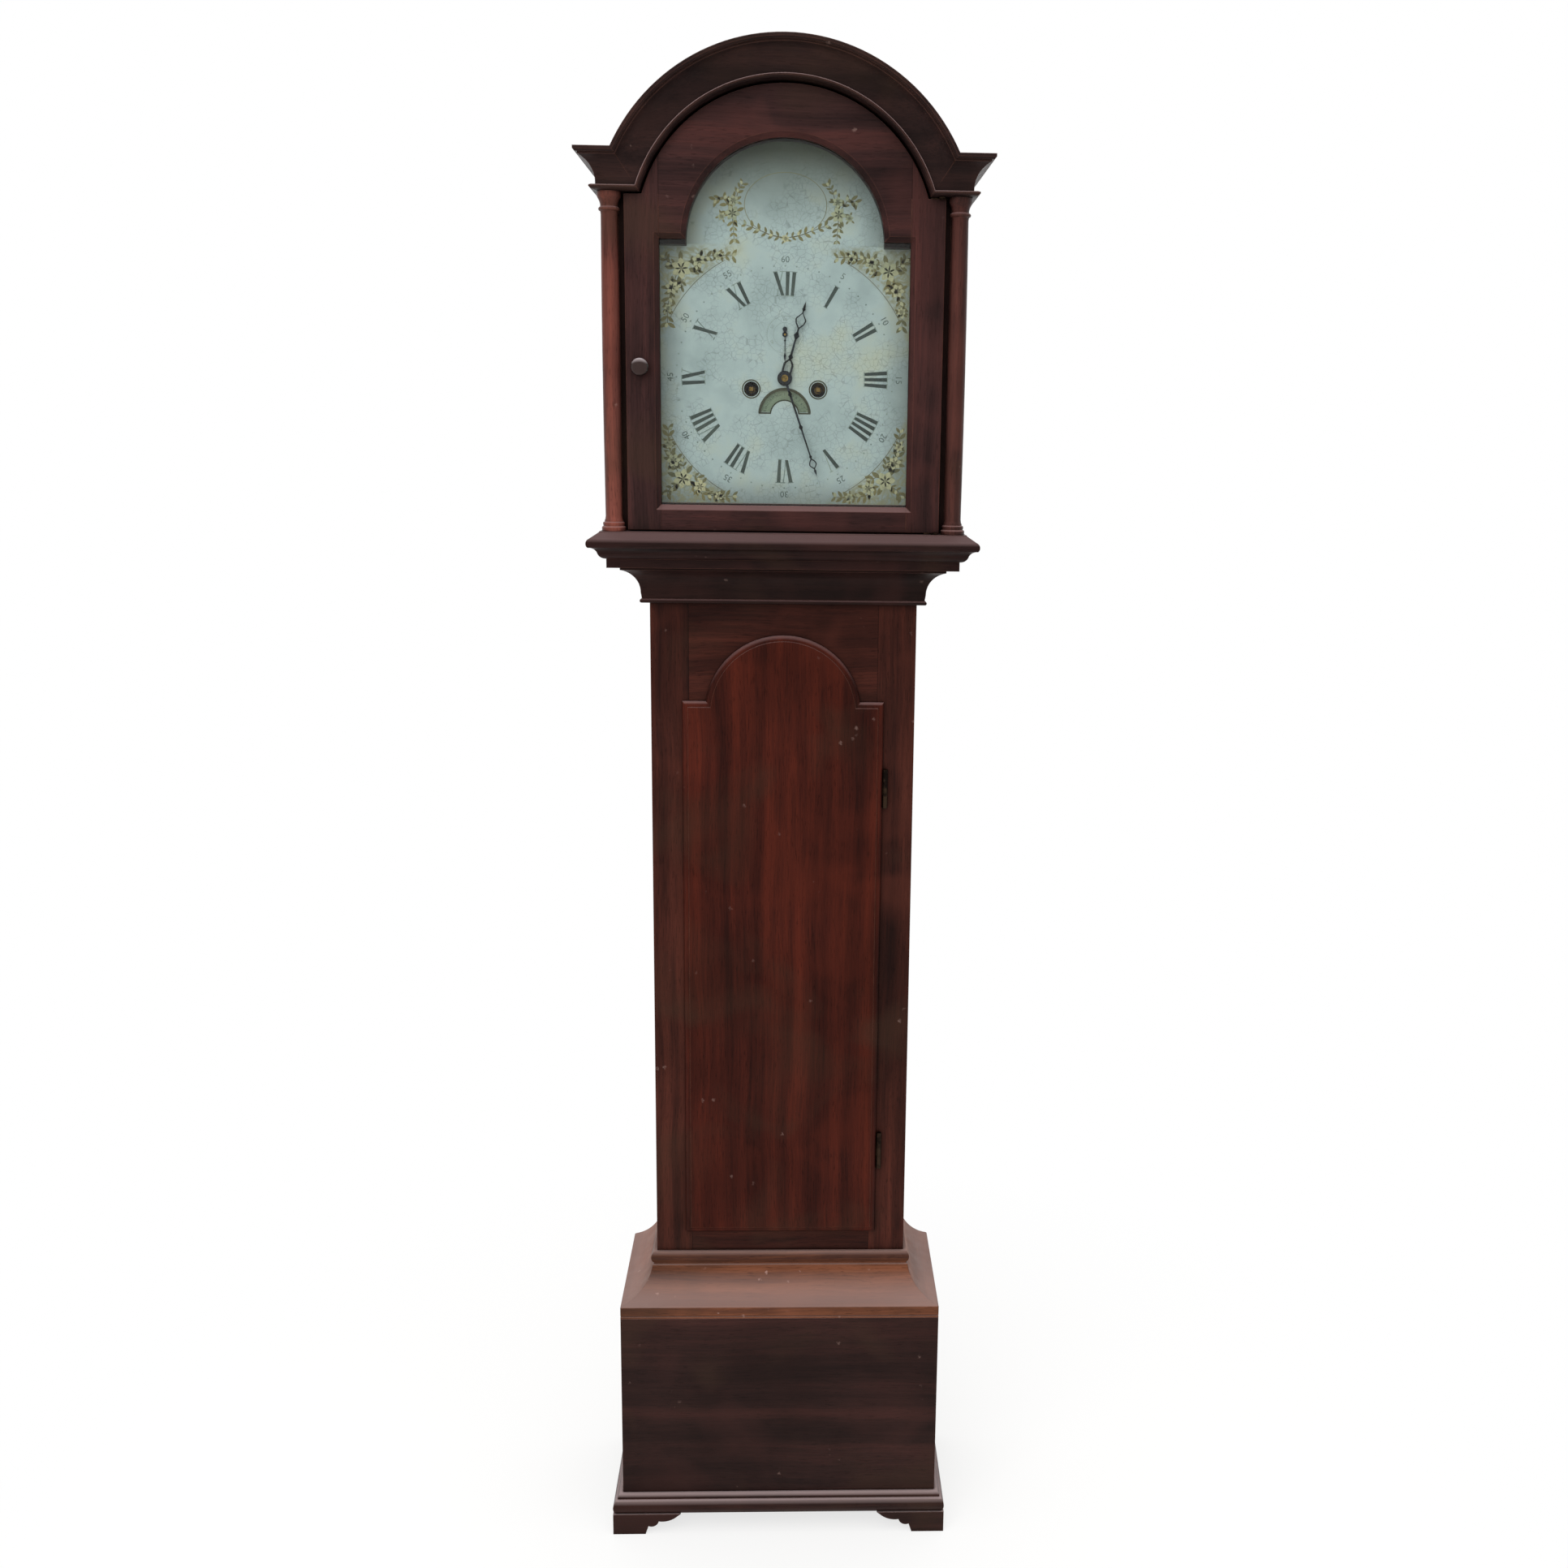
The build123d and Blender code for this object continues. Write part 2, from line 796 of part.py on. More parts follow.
motion_gap = 27.0
cannon_teeth = 36
hour_teeth = 72
minute_leaves = 6
cannon_module = motion_gap / cannon_teeth
hour_module = 2 * motion_gap / (hour_teeth + minute_leaves)
minute_place = (9.2, centre_z - sqrt(motion_gap**2 - 9.2**2))
cannon_y = plate_y - 9.0
hour_y = plate_y - 14.0


def plates():
    """Two pierced plates held apart by five turned pillars."""
    low, high = seat_top, plate_top
    middle = (low + high) / 2
    sheet = Pos(0, middle) * Rectangle(2 * plate_half, high - low)
    hole = pivot_radius + running
    for place in (third, escape, pallet, hammer_place):
        sheet -= Pos(*place) * Circle(hole)
    front = sheet - Pos(*centre) * Circle(3.0)
    rear = sheet - Pos(*centre) * Circle(hole)
    for place in (going, strike):
        front -= Pos(*place) * Circle(4.5 + running)
        rear -= Pos(*place) * Circle(2.0 + running)
    front -= Pos(*escape) * Circle(1.2 + running)
    rear -= Pos(*pallet) * Circle(3.0)
    add("front_plate", slab(front, plate_y, inner_y))
    add("back_plate", slab(rear, rear_y, outer_y))
    side = plate_half - pillar_inset
    inset = pillar_inset
    places = [(x, z) for x in (-side, side) for z in (low + inset, high - inset)]
    for x, z in (*places, (0, low + 1.75 * inset)):
        add("plate_pillars", bar(x, z, pillar_radius, inner_y, rear_y))
    y = inner_y + plate_space / 2
    for x in (-side, side):
        top = low + inset - pillar_radius
        bolt = post(x, y, bolt_radius, seat_bottom - 9, top)
        nut = extrude(Plane((x, y, seat_bottom - 6)) * RegularPolygon(6, 6), 6)
        add("seat_bolts", bolt + nut)


def seatboard():
    """Board across the cheeks, slotted for the lines and notched for the pendulum."""
    back = pendulum_y + notch_half - 4.5
    board = block(-trunk_half, trunk_half, plate_y - 4, back, seat_bottom, seat_top)
    tall = (seat_bottom - 1, seat_top + 1)
    for fall in (going_fall, strike_fall):
        board -= block(fall - 4, fall + 4, line_y - 20, line_y + 20, *tall)
        board -= post(fall + 2 * pulley_radius, line_y, line_radius + 0.4, *tall)
    for x in (pillar_inset - plate_half, plate_half - pillar_inset):
        board -= post(x, inner_y + plate_space / 2, bolt_radius + running, *tall)
    board -= block(-notch_half, notch_half, outer_y + 3, back + 1, *tall)
    return board


going_fall = winding_x - barrel_radius
strike_fall = -winding_x - barrel_radius
hammer_place = (72.0, 1600.0)


def arbor(place, y0, y1, radius=arbor_radius):
    """Arbor between the plates with its finer pivots."""
    body = bar(*place, radius, y0, y1)
    return body + bar(*place, pivot_radius, plate_y, outer_y)


# Going train, from the great wheel on its barrel to the escape wheel
def going_train():
    phase = 0.0
    great = crossed_wheel(going, great_teeth, great_module, phase, great_y, great_y + 2.5, 4.0)
    add("going_great_wheel", great)
    phase = meshed(going, great_teeth, phase, centre, centre_leaves)
    leaf_y = great_y - 1.5
    body = pinion(centre, centre_leaves, great_module, phase, leaf_y, leaf_y + 6)
    body += bar(*centre, arbor_radius, minute_hand_y - 2.4, rear_y - 0.5)
    body += bar(*centre, pivot_radius, rear_y - 0.5, outer_y)
    phase = 0.3
    wheel_face = (centre, centre_teeth, centre_module, phase, centre_y, centre_y + 2)
    body += crossed_wheel(*wheel_face, arbor_radius)
    add("centre_wheel", body)
    phase = meshed(centre, centre_teeth, phase, third, third_leaves)
    body = arbor(third, inner_y + 0.5, rear_y - 0.5)
    body += pinion(third, third_leaves, centre_module, phase, centre_y - 2, centre_y + 4)
    phase = 0.2
    wheel_face = (third, third_teeth, third_module, phase, third_y, third_y + 1.8)
    body += crossed_wheel(*wheel_face, arbor_radius)
    add("third_wheel", body)
    phase = meshed(third, third_teeth, phase, escape, escape_leaves)
    body = arbor(escape, inner_y + 0.5, rear_y - 0.5)
    body += bar(*escape, 1.2, seconds_y - 2.0, inner_y + 1)
    body += pinion(escape, escape_leaves, third_module, phase, third_y - 2, third_y + 4)
    body += escape_wheel()
    add("escape_wheel", body)


def escape_wheel():
    """Thirty raked teeth on a crossed-out rim."""
    tip = escape_radius
    root = tip - 3.6
    points = []
    for i in range(escape_teeth):
        angle = 2 * pi * i / escape_teeth
        lean = angle - 0.11
        points.append((tip * cos(angle), tip * sin(angle)))
        points.append((root * cos(lean), root * sin(lean)))
    rim = root - 1.8
    web = Circle(rim) - Circle(4)
    for i in range(4):
        web -= Rot(0, 0, 90 * i) * Pos(rim / 2 + 2, 0) * Rectangle(rim, 2)
    face = polygon(*points) - web
    return slab(Pos(*escape) * face, escape_y, escape_y + 1.5)


def anchor():
    """Anchor over the escape wheel, its arbor and the crutch down to the pendulum."""
    reach = escape_radius + 1.3
    lean = acos(escape_radius / (pallet_z - escape_z))
    nib = (reach * sin(lean), escape_z + reach * cos(lean))
    right = polygon(
        (0, pallet_z + 3.6),
        (nib[0] + 3.4, nib[1] + 4.8),
        (nib[0] + 3.6, nib[1] + 1.4),
        nib,
        (nib[0] - 1.2, nib[1] + 3.4),
        (3.2, pallet_z - 3.4),
        (0, pallet_z - 3.4),
    )
    face = right + mirror(right, Plane.YZ)
    body = slab(face, escape_y - 0.8, escape_y + 2.3)
    body += bar(*pallet, arbor_radius, inner_y + 0.5, outer_y + 3.8)
    body += bar(*pallet, pivot_radius, plate_y, outer_y + 7)
    crutch_y = outer_y + 0.8
    foot = pallet_z - 76
    body += block(-1.5, 1.5, crutch_y, crutch_y + 2.4, foot, pallet_z)
    tine = rod_radius + 0.5
    for side in (-1, 1):
        x0, x1 = sorted((side * tine, side * (tine + 1.6)))
        body += block(x0, x1, crutch_y, pendulum_y + 5, foot - 3, foot)
    body += block(-tine - 1.6, tine + 1.6, crutch_y, crutch_y + 2.4, foot - 3, foot)
    return body


pendulum_y = outer_y + 12.5
cock_y = outer_y + 4.0


def back_cock():
    """Bracket behind the back plate for the pallet arbor and the suspension."""
    plate = block(-16, 16, cock_y, cock_y + 3.5, pallet_z - 18, pallet_z + 14)
    for x in (-16, 10):
        plate += block(x, x + 6, outer_y, cock_y, pallet_z - 18, pallet_z - 8)
        plate += block(x, x + 6, outer_y, cock_y, pallet_z + 4, pallet_z + 14)
    stud_y = cock_y + 3.5
    plate += block(-5, 5, stud_y, pendulum_y + 6, pallet_z + 4, pallet_z + 12)
    plate -= block(-1.2, 1.2, pendulum_y - 3, pendulum_y + 3, pallet_z + 3, pallet_z + 13)
    plate -= bar(*pallet, pivot_radius + running, cock_y - 1, stud_y + 1)
    return plate


def pendulum():
    """Suspension spring and rod, with a lens-shaped bob on a rating nut."""
    top = pallet_z + 12.5
    join = pallet_z - 18
    bob_z = pallet_z - pendulum_length
    chops = block(-4, 4, pendulum_y - 2.5, pendulum_y + 2.5, top, top + 5)
    spring = block(-0.3, 0.3, pendulum_y - 2, pendulum_y + 2, join, top)
    rod = post(0, pendulum_y, rod_radius, bob_z - bob_radius - 18, join)
    add("pendulum_rod", chops + spring + rod)
    half = bob_thick / 2
    rim = 1.2
    lens = profile(
        (0, -half),
        ((bob_radius * 0.55, -half * 0.78), (bob_radius, -rim)),
        (bob_radius, rim),
        ((bob_radius * 0.55, half * 0.78), (0, half)),
    )
    turn = Plane((0, pendulum_y, bob_z), x_dir=(1, 0, 0), z_dir=(0, 0, 1))
    bob = revolve(turn * lens, Axis((0, pendulum_y, bob_z), (0, 1, 0)), 360)
    bob -= post(0, pendulum_y, rod_radius + running, bob_z - 60, bob_z + 60)
    add("pendulum_bob", bob)
    nut_z = bob_z - bob_radius - 6.3
    nut = post(0, pendulum_y, 6.5, nut_z, nut_z + 6)
    add("rating_nut", nut - post(0, pendulum_y, rod_radius + running, nut_z - 1, nut_z + 7))


# Motion work behind the dial, and the hands
seconds_y = dial_y - 2.6
hour_hand_y = dial_y - 4.8
minute_hand_y = dial_y - 8.0


def motion_work():
    pipe = 2.4
    phase = 0.1
    wheel_face = (centre, cannon_teeth, cannon_module, phase, cannon_y, cannon_y + 2)
    cannon = pinion(*wheel_face, arbor_radius + running)
    cannon += bar(*centre, pipe, minute_hand_y + 1.0, cannon_y)
    cannon -= bar(*centre, arbor_radius + running, minute_hand_y - 1, cannon_y + 3)
    add("cannon_wheel", cannon)
    phase = meshed(centre, cannon_teeth, phase, minute_place, cannon_teeth)
    wheel_face = (minute_place, cannon_teeth, cannon_module, phase, cannon_y, cannon_y + 2)
    body = pinion(*wheel_face)
    phase = 0.4
    leaf = pinion(minute_place, minute_leaves, hour_module, phase, hour_y - 2, cannon_y)
    stud = 1.2
    body += leaf
    body -= bar(*minute_place, stud + running, hour_y - 3, cannon_y + 3)
    add("minute_wheel", body)
    post_bar = bar(*minute_place, stud, hour_y - 3, plate_y)
    add("motion_studs", post_bar + bar(*minute_place, 2.4, cannon_y + 2.4, plate_y))
    phase = meshed(minute_place, minute_leaves, phase, centre, hour_teeth)
    hour_bore = pipe + 0.25
    wheel_face = (centre, hour_teeth, hour_module, phase, hour_y, hour_y + 2)
    hour = pinion(*wheel_face, hour_bore)
    hour += bar(*centre, hour_bore + 1.4, hour_hand_y + 1.0, hour_y)
    hour -= bar(*centre, hour_bore, hour_hand_y - 1, hour_y + 3)
    add("hour_wheel", hour)
    disc = Circle(31) - Circle(2.0 + running)
    disc_y = dial_y + dial_thick + 1.2
    add("date_disc", slab(Pos(0, date_z) * disc, disc_y, disc_y + 1))
    add("motion_studs", bar(0, date_z, 2.0, disc_y - 0.5, plate_y))


def hand(length, boss, bore, width, loops, tail=0.0):
    """Pierced hand that points up: boss, tapered stem, open loops and a spade tip."""
    stem = polygon(
        (-width, 0), (width, 0), (width * 0.45, length * 0.86), (-width * 0.45, length * 0.86)
    )
    face = stem + Circle(boss)
    if tail:
        face += Pos(0, -tail / 2) * Rectangle(width * 1.4, tail)
    for at, tall, wide in loops:
        inner = polygon(
            (0, at + tall - 2 * width), (wide - width, at),
            (0, at - tall + 2 * width), (width - wide, at),
        )
        outer = polygon((0, at + tall), (wide, at), (0, at - tall), (-wide, at))
        face = face + outer - inner
    tip = length
    face += polygon(
        (0, tip), (-length * 0.035, tip - length * 0.1), (0, tip - length * 0.16),
        (length * 0.035, tip - length * 0.1),
    )
    return face - Circle(bore)


def hands():
    turns = (("minute_hand", minute_hand_y, 161.0), ("hour_hand", hour_hand_y, 15.6))
    shapes = {
        "minute_hand": hand(123.0, 7.5, arbor_radius + 0.1, 1.5, ((34, 9, 5), (88, 8, 4.2))),
        "hour_hand": hand(93.5, 9.0, 2.7, 1.8, ((30, 10, 6.5), (64, 8, 5.5))),
    }
    for node, y0, clockwise in turns:
        face = Pos(*centre) * Rot(0, 0, -clockwise) * shapes[node]
        add(node, slab(face, y0, y0 + 1.0))
    collet = bar(*centre, 4.2, minute_hand_y - 1.6, minute_hand_y)
    add("minute_hand", collet - bar(*centre, arbor_radius + 0.1, minute_hand_y - 3, minute_hand_y))
    small = hand(32.0, 3.4, 1.25, 0.8, (), tail=9.0)
    face = Pos(*escape) * Rot(0, 0, 180) * small
    add("seconds_hand", slab(face, seconds_y, seconds_y + 0.7))


# Barrels, weights, pulleys and lines for both trains
def barrel(place, node):
    """Drum with end flanges on an arbor with a square for the key."""
    y0 = great_y + 3.0
    y1 = centre_y - 1.4
    drum = bar(*place, barrel_radius - line_radius - line_gap, y0, y1)
    drum += bar(*place, barrel_radius + 2.5, y0, y0 + 1.5)
    drum += bar(*place, barrel_radius + 2.5, y1 - 1.5, y1)
    drum += bar(*place, 4.0 - running, great_y - 0.5, y0)
    drum += bar(*place, 4.5, plate_y - 1, great_y - 0.5)
    drum += bar(*place, 2.0, y1, outer_y)
    square = slab(Pos(*place) * Rectangle(4.6, 4.6), dial_y + 2, plate_y - 1)
    add(node, drum + square)


pulley_z = weight_bottom + weight_height + 52.0


def weight(fall, name):
    """Iron weight under a pulley in its stirrup."""
    x = fall + pulley_radius
    top = weight_bottom + weight_height
    lump = post(x, line_y, weight_radius, weight_bottom, top)
    lump += post(x, line_y, 9, top, top + 6)
    lump += post(x, line_y, 3.5, top + 6, top + 17)
    add(f"{name}_weight", lump)
    inner = 4.4
    frame = block(x - 6, x + 6, line_y - inner - 2, line_y + inner + 2, top + 17, top + 23)
    for y0 in (line_y - inner - 2, line_y + inner):
        frame += block(x - 6, x + 6, y0, y0 + 2, top + 17, pulley_z + 6)
    frame += bar(x, pulley_z, 1.8, line_y - inner - 1, line_y + inner + 1)
    add(f"{name}_weight", frame)
    rim = pulley_radius + 2.4
    groove = pulley_radius - line_radius - line_gap
    half = profile(
        (1.8 + running, -4),
        (rim, -4),
        (rim, -3.2),
        (groove, -1.0),
        (groove, 1.0),
        (rim, 3.2),
        (rim, 4),
        (1.8 + running, 4),
    )
    turn = Plane((x, line_y, pulley_z), x_dir=(1, 0, 0), z_dir=(0, 0, 1))
    wheel = revolve(turn * half, Axis((x, line_y, pulley_z), (0, 1, 0)), 360)
    add(f"{name}_pulley", wheel)


def line(fall, name):
    """Gut line: down from the barrel, round the pulley and up to the seatboard."""
    outer = fall
    x = fall + pulley_radius
    inner = x + pulley_radius
    low = pulley_z - pulley_radius
    path = Wire(
        [
            Edge.make_line((outer, line_y, winding_z), (outer, line_y, pulley_z)),
            Edge.make_three_point_arc(
                (outer, line_y, pulley_z), (x, line_y, low), (inner, line_y, pulley_z)
            ),
            Edge.make_line((inner, line_y, pulley_z), (inner, line_y, seat_top)),
        ]
    )
    start = Plane((outer, line_y, winding_z), z_dir=(0, 0, -1))
    cord = sweep(start * RegularPolygon(line_radius, 6), path)
    knot = post(inner, line_y, 2.6, seat_top, seat_top + 3)
    add(f"{name}_line", cord + knot)


# Bell and hammer above the plates
def bell():
    x, y = 30.0, inner_y + 22.0
    low = plate_top + 14
    tall = 27.0
    wide = 38.0
    wall = 2.2
    dome = profile(
        (2.4, tall - wall),
        ((wide * 0.66, tall * 0.62), (wide - wall, 0)),
        (wide, 0),
        ((wide * 0.72, tall * 0.72), (2.4, tall)),
    )
    turn = Plane((x, y, low), x_dir=(1, 0, 0), z_dir=(0, -1, 0))
    add("bell", revolve(turn * dome, Axis((x, y, low), (0, 0, 1)), 360))
    top = low + tall
    stand = block(x - 4, x + 4, outer_y, outer_y + 2.5, plate_top - 26, top + 4)
    stand += block(x - 4, x + 4, y - 4, outer_y, top + 1.5, top + 4)
    stand += post(x, y, 2.0, top - wall - 3, top + 1.5)
    stand += post(x, y, 4.0, top - wall - 5, top - wall - 2.6)
    add("bell_stand", stand)
    hx, hz = hammer_place
    rim_x = x + wide
    arm = bar(hx, hz, arbor_radius, inner_y + 0.5, rear_y - 0.5)
    arm += bar(hx, hz, pivot_radius, plate_y, outer_y)
    arm += block(hx - 1.5, hx + 1.5, y - 1.5, y + 1.5, hz, hz + 20)
    arm += block(hx - 1.5, hx + 11.5, y - 1.5, y + 1.5, hz + 18, hz + 21)
    arm += block(hx + 8.5, hx + 11.5, y - 1.5, y + 1.5, hz + 18, low + 2)
    head = Plane((rim_x + 2.5, y, low + 5), x_dir=(0, 1, 0), z_dir=(1, 0, 0))
    arm += extrude(head * Circle(5), 14)
    add("hammer", arm)


add("backboard", *backboard())
add("trunk_sides", *trunk_sides())
add("trunk_frame", *trunk_frame())
add("trunk_door", trunk_door())
trunk_hinges()
plinth()
add("base_moulding", *base_moulding())
add("bracket_feet", *bracket_feet())
add("waist_moulding", *waist_moulding())
add("throat_moulding", *throat_moulding())
add("hood_base", *hood_base())
add("hood_cornice", *hood_cornice())
add("hood_frieze", frieze())
add("hood_sides", *hood_sides())
add("hood_roof", *hood_roof())
add("hood_mask", hood_mask())
columns()
hood_door()
hood_door_straps()
dial()
plates()
add("seatboard", seatboard())
going_train()
add("anchor", anchor())
add("back_cock", back_cock())
pendulum()
motion_work()
hands()
barrel(going, "going_barrel")
barrel(strike, "strike_barrel")
for fall, name in ((going_fall, "going"), (strike_fall, "strike")):
    weight(fall, name)
    line(fall, name)
bell()

os.makedirs("parts", exist_ok=True)
for node, solids in parts.items():
    whole = solids[0] if len(solids) == 1 else Compound(children=solids)
    export_step(whole, f"parts/{node}.step")
    print(node, len(solids), round(sum(s.volume for s in solids)))
print(len(parts), "nodes")
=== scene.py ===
import math
import random

import bmesh
import bpy
from mathutils import Matrix, Vector


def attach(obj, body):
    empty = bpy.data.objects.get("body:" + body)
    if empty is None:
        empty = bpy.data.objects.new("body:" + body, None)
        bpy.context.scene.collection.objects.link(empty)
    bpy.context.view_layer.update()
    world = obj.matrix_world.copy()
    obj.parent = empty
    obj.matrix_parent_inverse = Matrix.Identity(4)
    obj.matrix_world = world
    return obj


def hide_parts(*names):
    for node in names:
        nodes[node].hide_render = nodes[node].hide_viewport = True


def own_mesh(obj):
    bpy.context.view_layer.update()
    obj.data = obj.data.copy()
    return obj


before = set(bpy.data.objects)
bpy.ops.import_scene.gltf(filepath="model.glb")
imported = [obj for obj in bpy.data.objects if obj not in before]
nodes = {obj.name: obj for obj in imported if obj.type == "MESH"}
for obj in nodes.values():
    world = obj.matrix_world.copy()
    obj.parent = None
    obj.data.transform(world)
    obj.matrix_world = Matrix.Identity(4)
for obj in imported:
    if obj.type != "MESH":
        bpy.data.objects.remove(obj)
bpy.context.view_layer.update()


# Camera. It stands a little left of the clock and above the dial's middle, turned slightly down,
# with the frame cropped a little off its centre.
image_width = 1932
focal_pixels = 2045.75
centre_pixels = 85.49
eye = Vector((0.01256, -2.1211, 1.47523))
pitch, yaw, roll = (math.radians(angle) for angle in (11.8726, -2.1413, 0.7941))
forward = Vector(
    (-math.sin(yaw) * math.cos(pitch), math.cos(yaw) * math.cos(pitch), -math.sin(pitch))
)
level = Vector((math.cos(yaw), math.sin(yaw), 0))
upright = level.cross(forward)
camera_x = math.cos(roll) * level + math.sin(roll) * upright
camera_y = -math.sin(roll) * level + math.cos(roll) * upright
lens = bpy.data.cameras.new("camera")
lens.sensor_width = 36
lens.lens = focal_pixels / image_width * lens.sensor_width
lens.shift_x = -centre_pixels / image_width
lens.clip_end = 50
camera = bpy.data.objects.new("camera", lens)
turn = Matrix((camera_x, camera_y, -forward)).transposed().to_4x4()
camera.matrix_world = Matrix.Translation(eye) @ turn
bpy.context.scene.collection.objects.link(camera)
bpy.context.scene.camera = camera
bpy.context.scene.view_settings.view_transform = "Standard"


# Floor and surroundings: a wide matt white floor that keeps the clock's shadow and fades into a
# white room, lit by soft daylight from the front, from above and a little from the left.
def paint(code):
    """A colour written as sRGB hex, as the linear colour that a shader reads."""
    parts = [int(code[i : i + 2], 16) / 255 for i in (1, 3, 5)]
    return tuple(c / 12.92 if c <= 0.04045 else ((c + 0.055) / 1.055) ** 2.4 for c in parts) + (1,)


def put(tree, kind, inputs=None, stops=None, **settings):
    """Add a node with its settings; an input takes a value or another node's output."""
    node = tree.nodes.new(kind)
    for name, value in settings.items():
        setattr(node, name, value)
    for name, value in (inputs or {}).items():
        if isinstance(value, bpy.types.NodeSocket):
            tree.links.new(value, node.inputs[name])
        else:
            node.inputs[name].default_value = value
    for i, (place, colour) in enumerate(stops or ()):
        marks = node.color_ramp.elements
        mark = marks[i] if i < 2 else marks.new(place)
        mark.position = place
        mark.color = colour if isinstance(colour, tuple) else (colour, colour, colour, 1)
    return node


def blank(name):
    """A material with an empty tree, and that tree."""
    material = bpy.data.materials.new(name)
    material.use_nodes = True
    material.node_tree.nodes.clear()
    return material, material.node_tree


def white_room(tree):
    """1 for a ray from the camera, a reflection or the glass: these see the room as plain white."""
    ray = put(tree, "ShaderNodeLightPath").outputs
    seen = ray["Is Camera Ray"]
    for kind in ("Is Glossy Ray", "Is Transmission Ray"):
        seen = put(tree, "ShaderNodeMath", {0: seen, 1: ray[kind]}, operation="MAXIMUM").outputs[0]
    return seen


floor_radius = 6.0
floor_mesh = bpy.data.meshes.new("floor")
shape = bmesh.new()
bmesh.ops.create_circle(shape, cap_ends=True, segments=96, radius=floor_radius)
shape.to_mesh(floor_mesh)
shape.free()
floor = bpy.data.objects.new("floor", floor_mesh)
bpy.context.scene.collection.objects.link(floor)
chalk, tree = blank("matt white floor paint")
seen = white_room(tree)
place = put(tree, "ShaderNodeTexCoord").outputs["Object"]
reach = put(tree, "ShaderNodeVectorMath", {0: place}, operation="LENGTH").outputs["Value"]
fade = put(tree, "ShaderNodeMapRange", {0: reach, 1: 0.3, 2: 1.1, 3: 0.72, 4: 1.0}).outputs[0]
share = put(tree, "ShaderNodeMath", {0: fade, 1: seen}, operation="MULTIPLY").outputs[0]
matt = put(tree, "ShaderNodeBsdfDiffuse", {"Color": paint("#eeedea")}).outputs[0]
bright = put(tree, "ShaderNodeEmission", {"Color": (1, 1, 1, 1), "Strength": 1.0}).outputs[0]
both = put(tree, "ShaderNodeMixShader", {0: share, 1: matt, 2: bright}).outputs[0]
put(tree, "ShaderNodeOutputMaterial", {"Surface": both})
floor_mesh.materials.append(chalk)

world = bpy.data.worlds.new("daylight room")
world.use_nodes = True
bpy.context.scene.world = world
tree = world.node_tree
tree.nodes.clear()
seen = white_room(tree)
sky = put(tree, "ShaderNodeTexCoord").outputs["Generated"]
height = put(tree, "ShaderNodeSeparateXYZ", {0: sky}).outputs[2]
height = put(tree, "ShaderNodeMapRange", {0: height, 1: -1, 2: 1}).outputs[0]
light = put(
    tree, "ShaderNodeValToRGB", {0: height}, stops=((0.3, 0.30), (0.5, 0.42), (0.75, 0.85), (1.0, 1.15))
).outputs[0]
white = put(
    tree, "ShaderNodeMix", {0: seen, 6: light, 7: (1, 1, 1, 1)}, data_type="RGBA"
).outputs[2]
back = put(tree, "ShaderNodeBackground", {"Color": white, "Strength": 1.0}).outputs[0]
put(tree, "ShaderNodeOutputWorld", {"Surface": back})

for name, spot, size, power in (
    ("window light", (-1.1, -3.2, 3.0), 3.4, 92),
    ("top light", (0.3, -0.9, 3.6), 2.4, 19),
):
    lamp = bpy.data.lights.new(name, "AREA")
    lamp.size = size
    lamp.energy = power
    lamp_object = bpy.data.objects.new(name, lamp)
    aim = Vector((0, 0, 1.1)) - Vector(spot)
    lamp_object.matrix_world = Matrix.Translation(spot) @ aim.to_track_quat("-Z", "Y").to_matrix().to_4x4()
    lamp_object.visible_glossy = False
    bpy.context.scene.collection.objects.link(lamp_object)


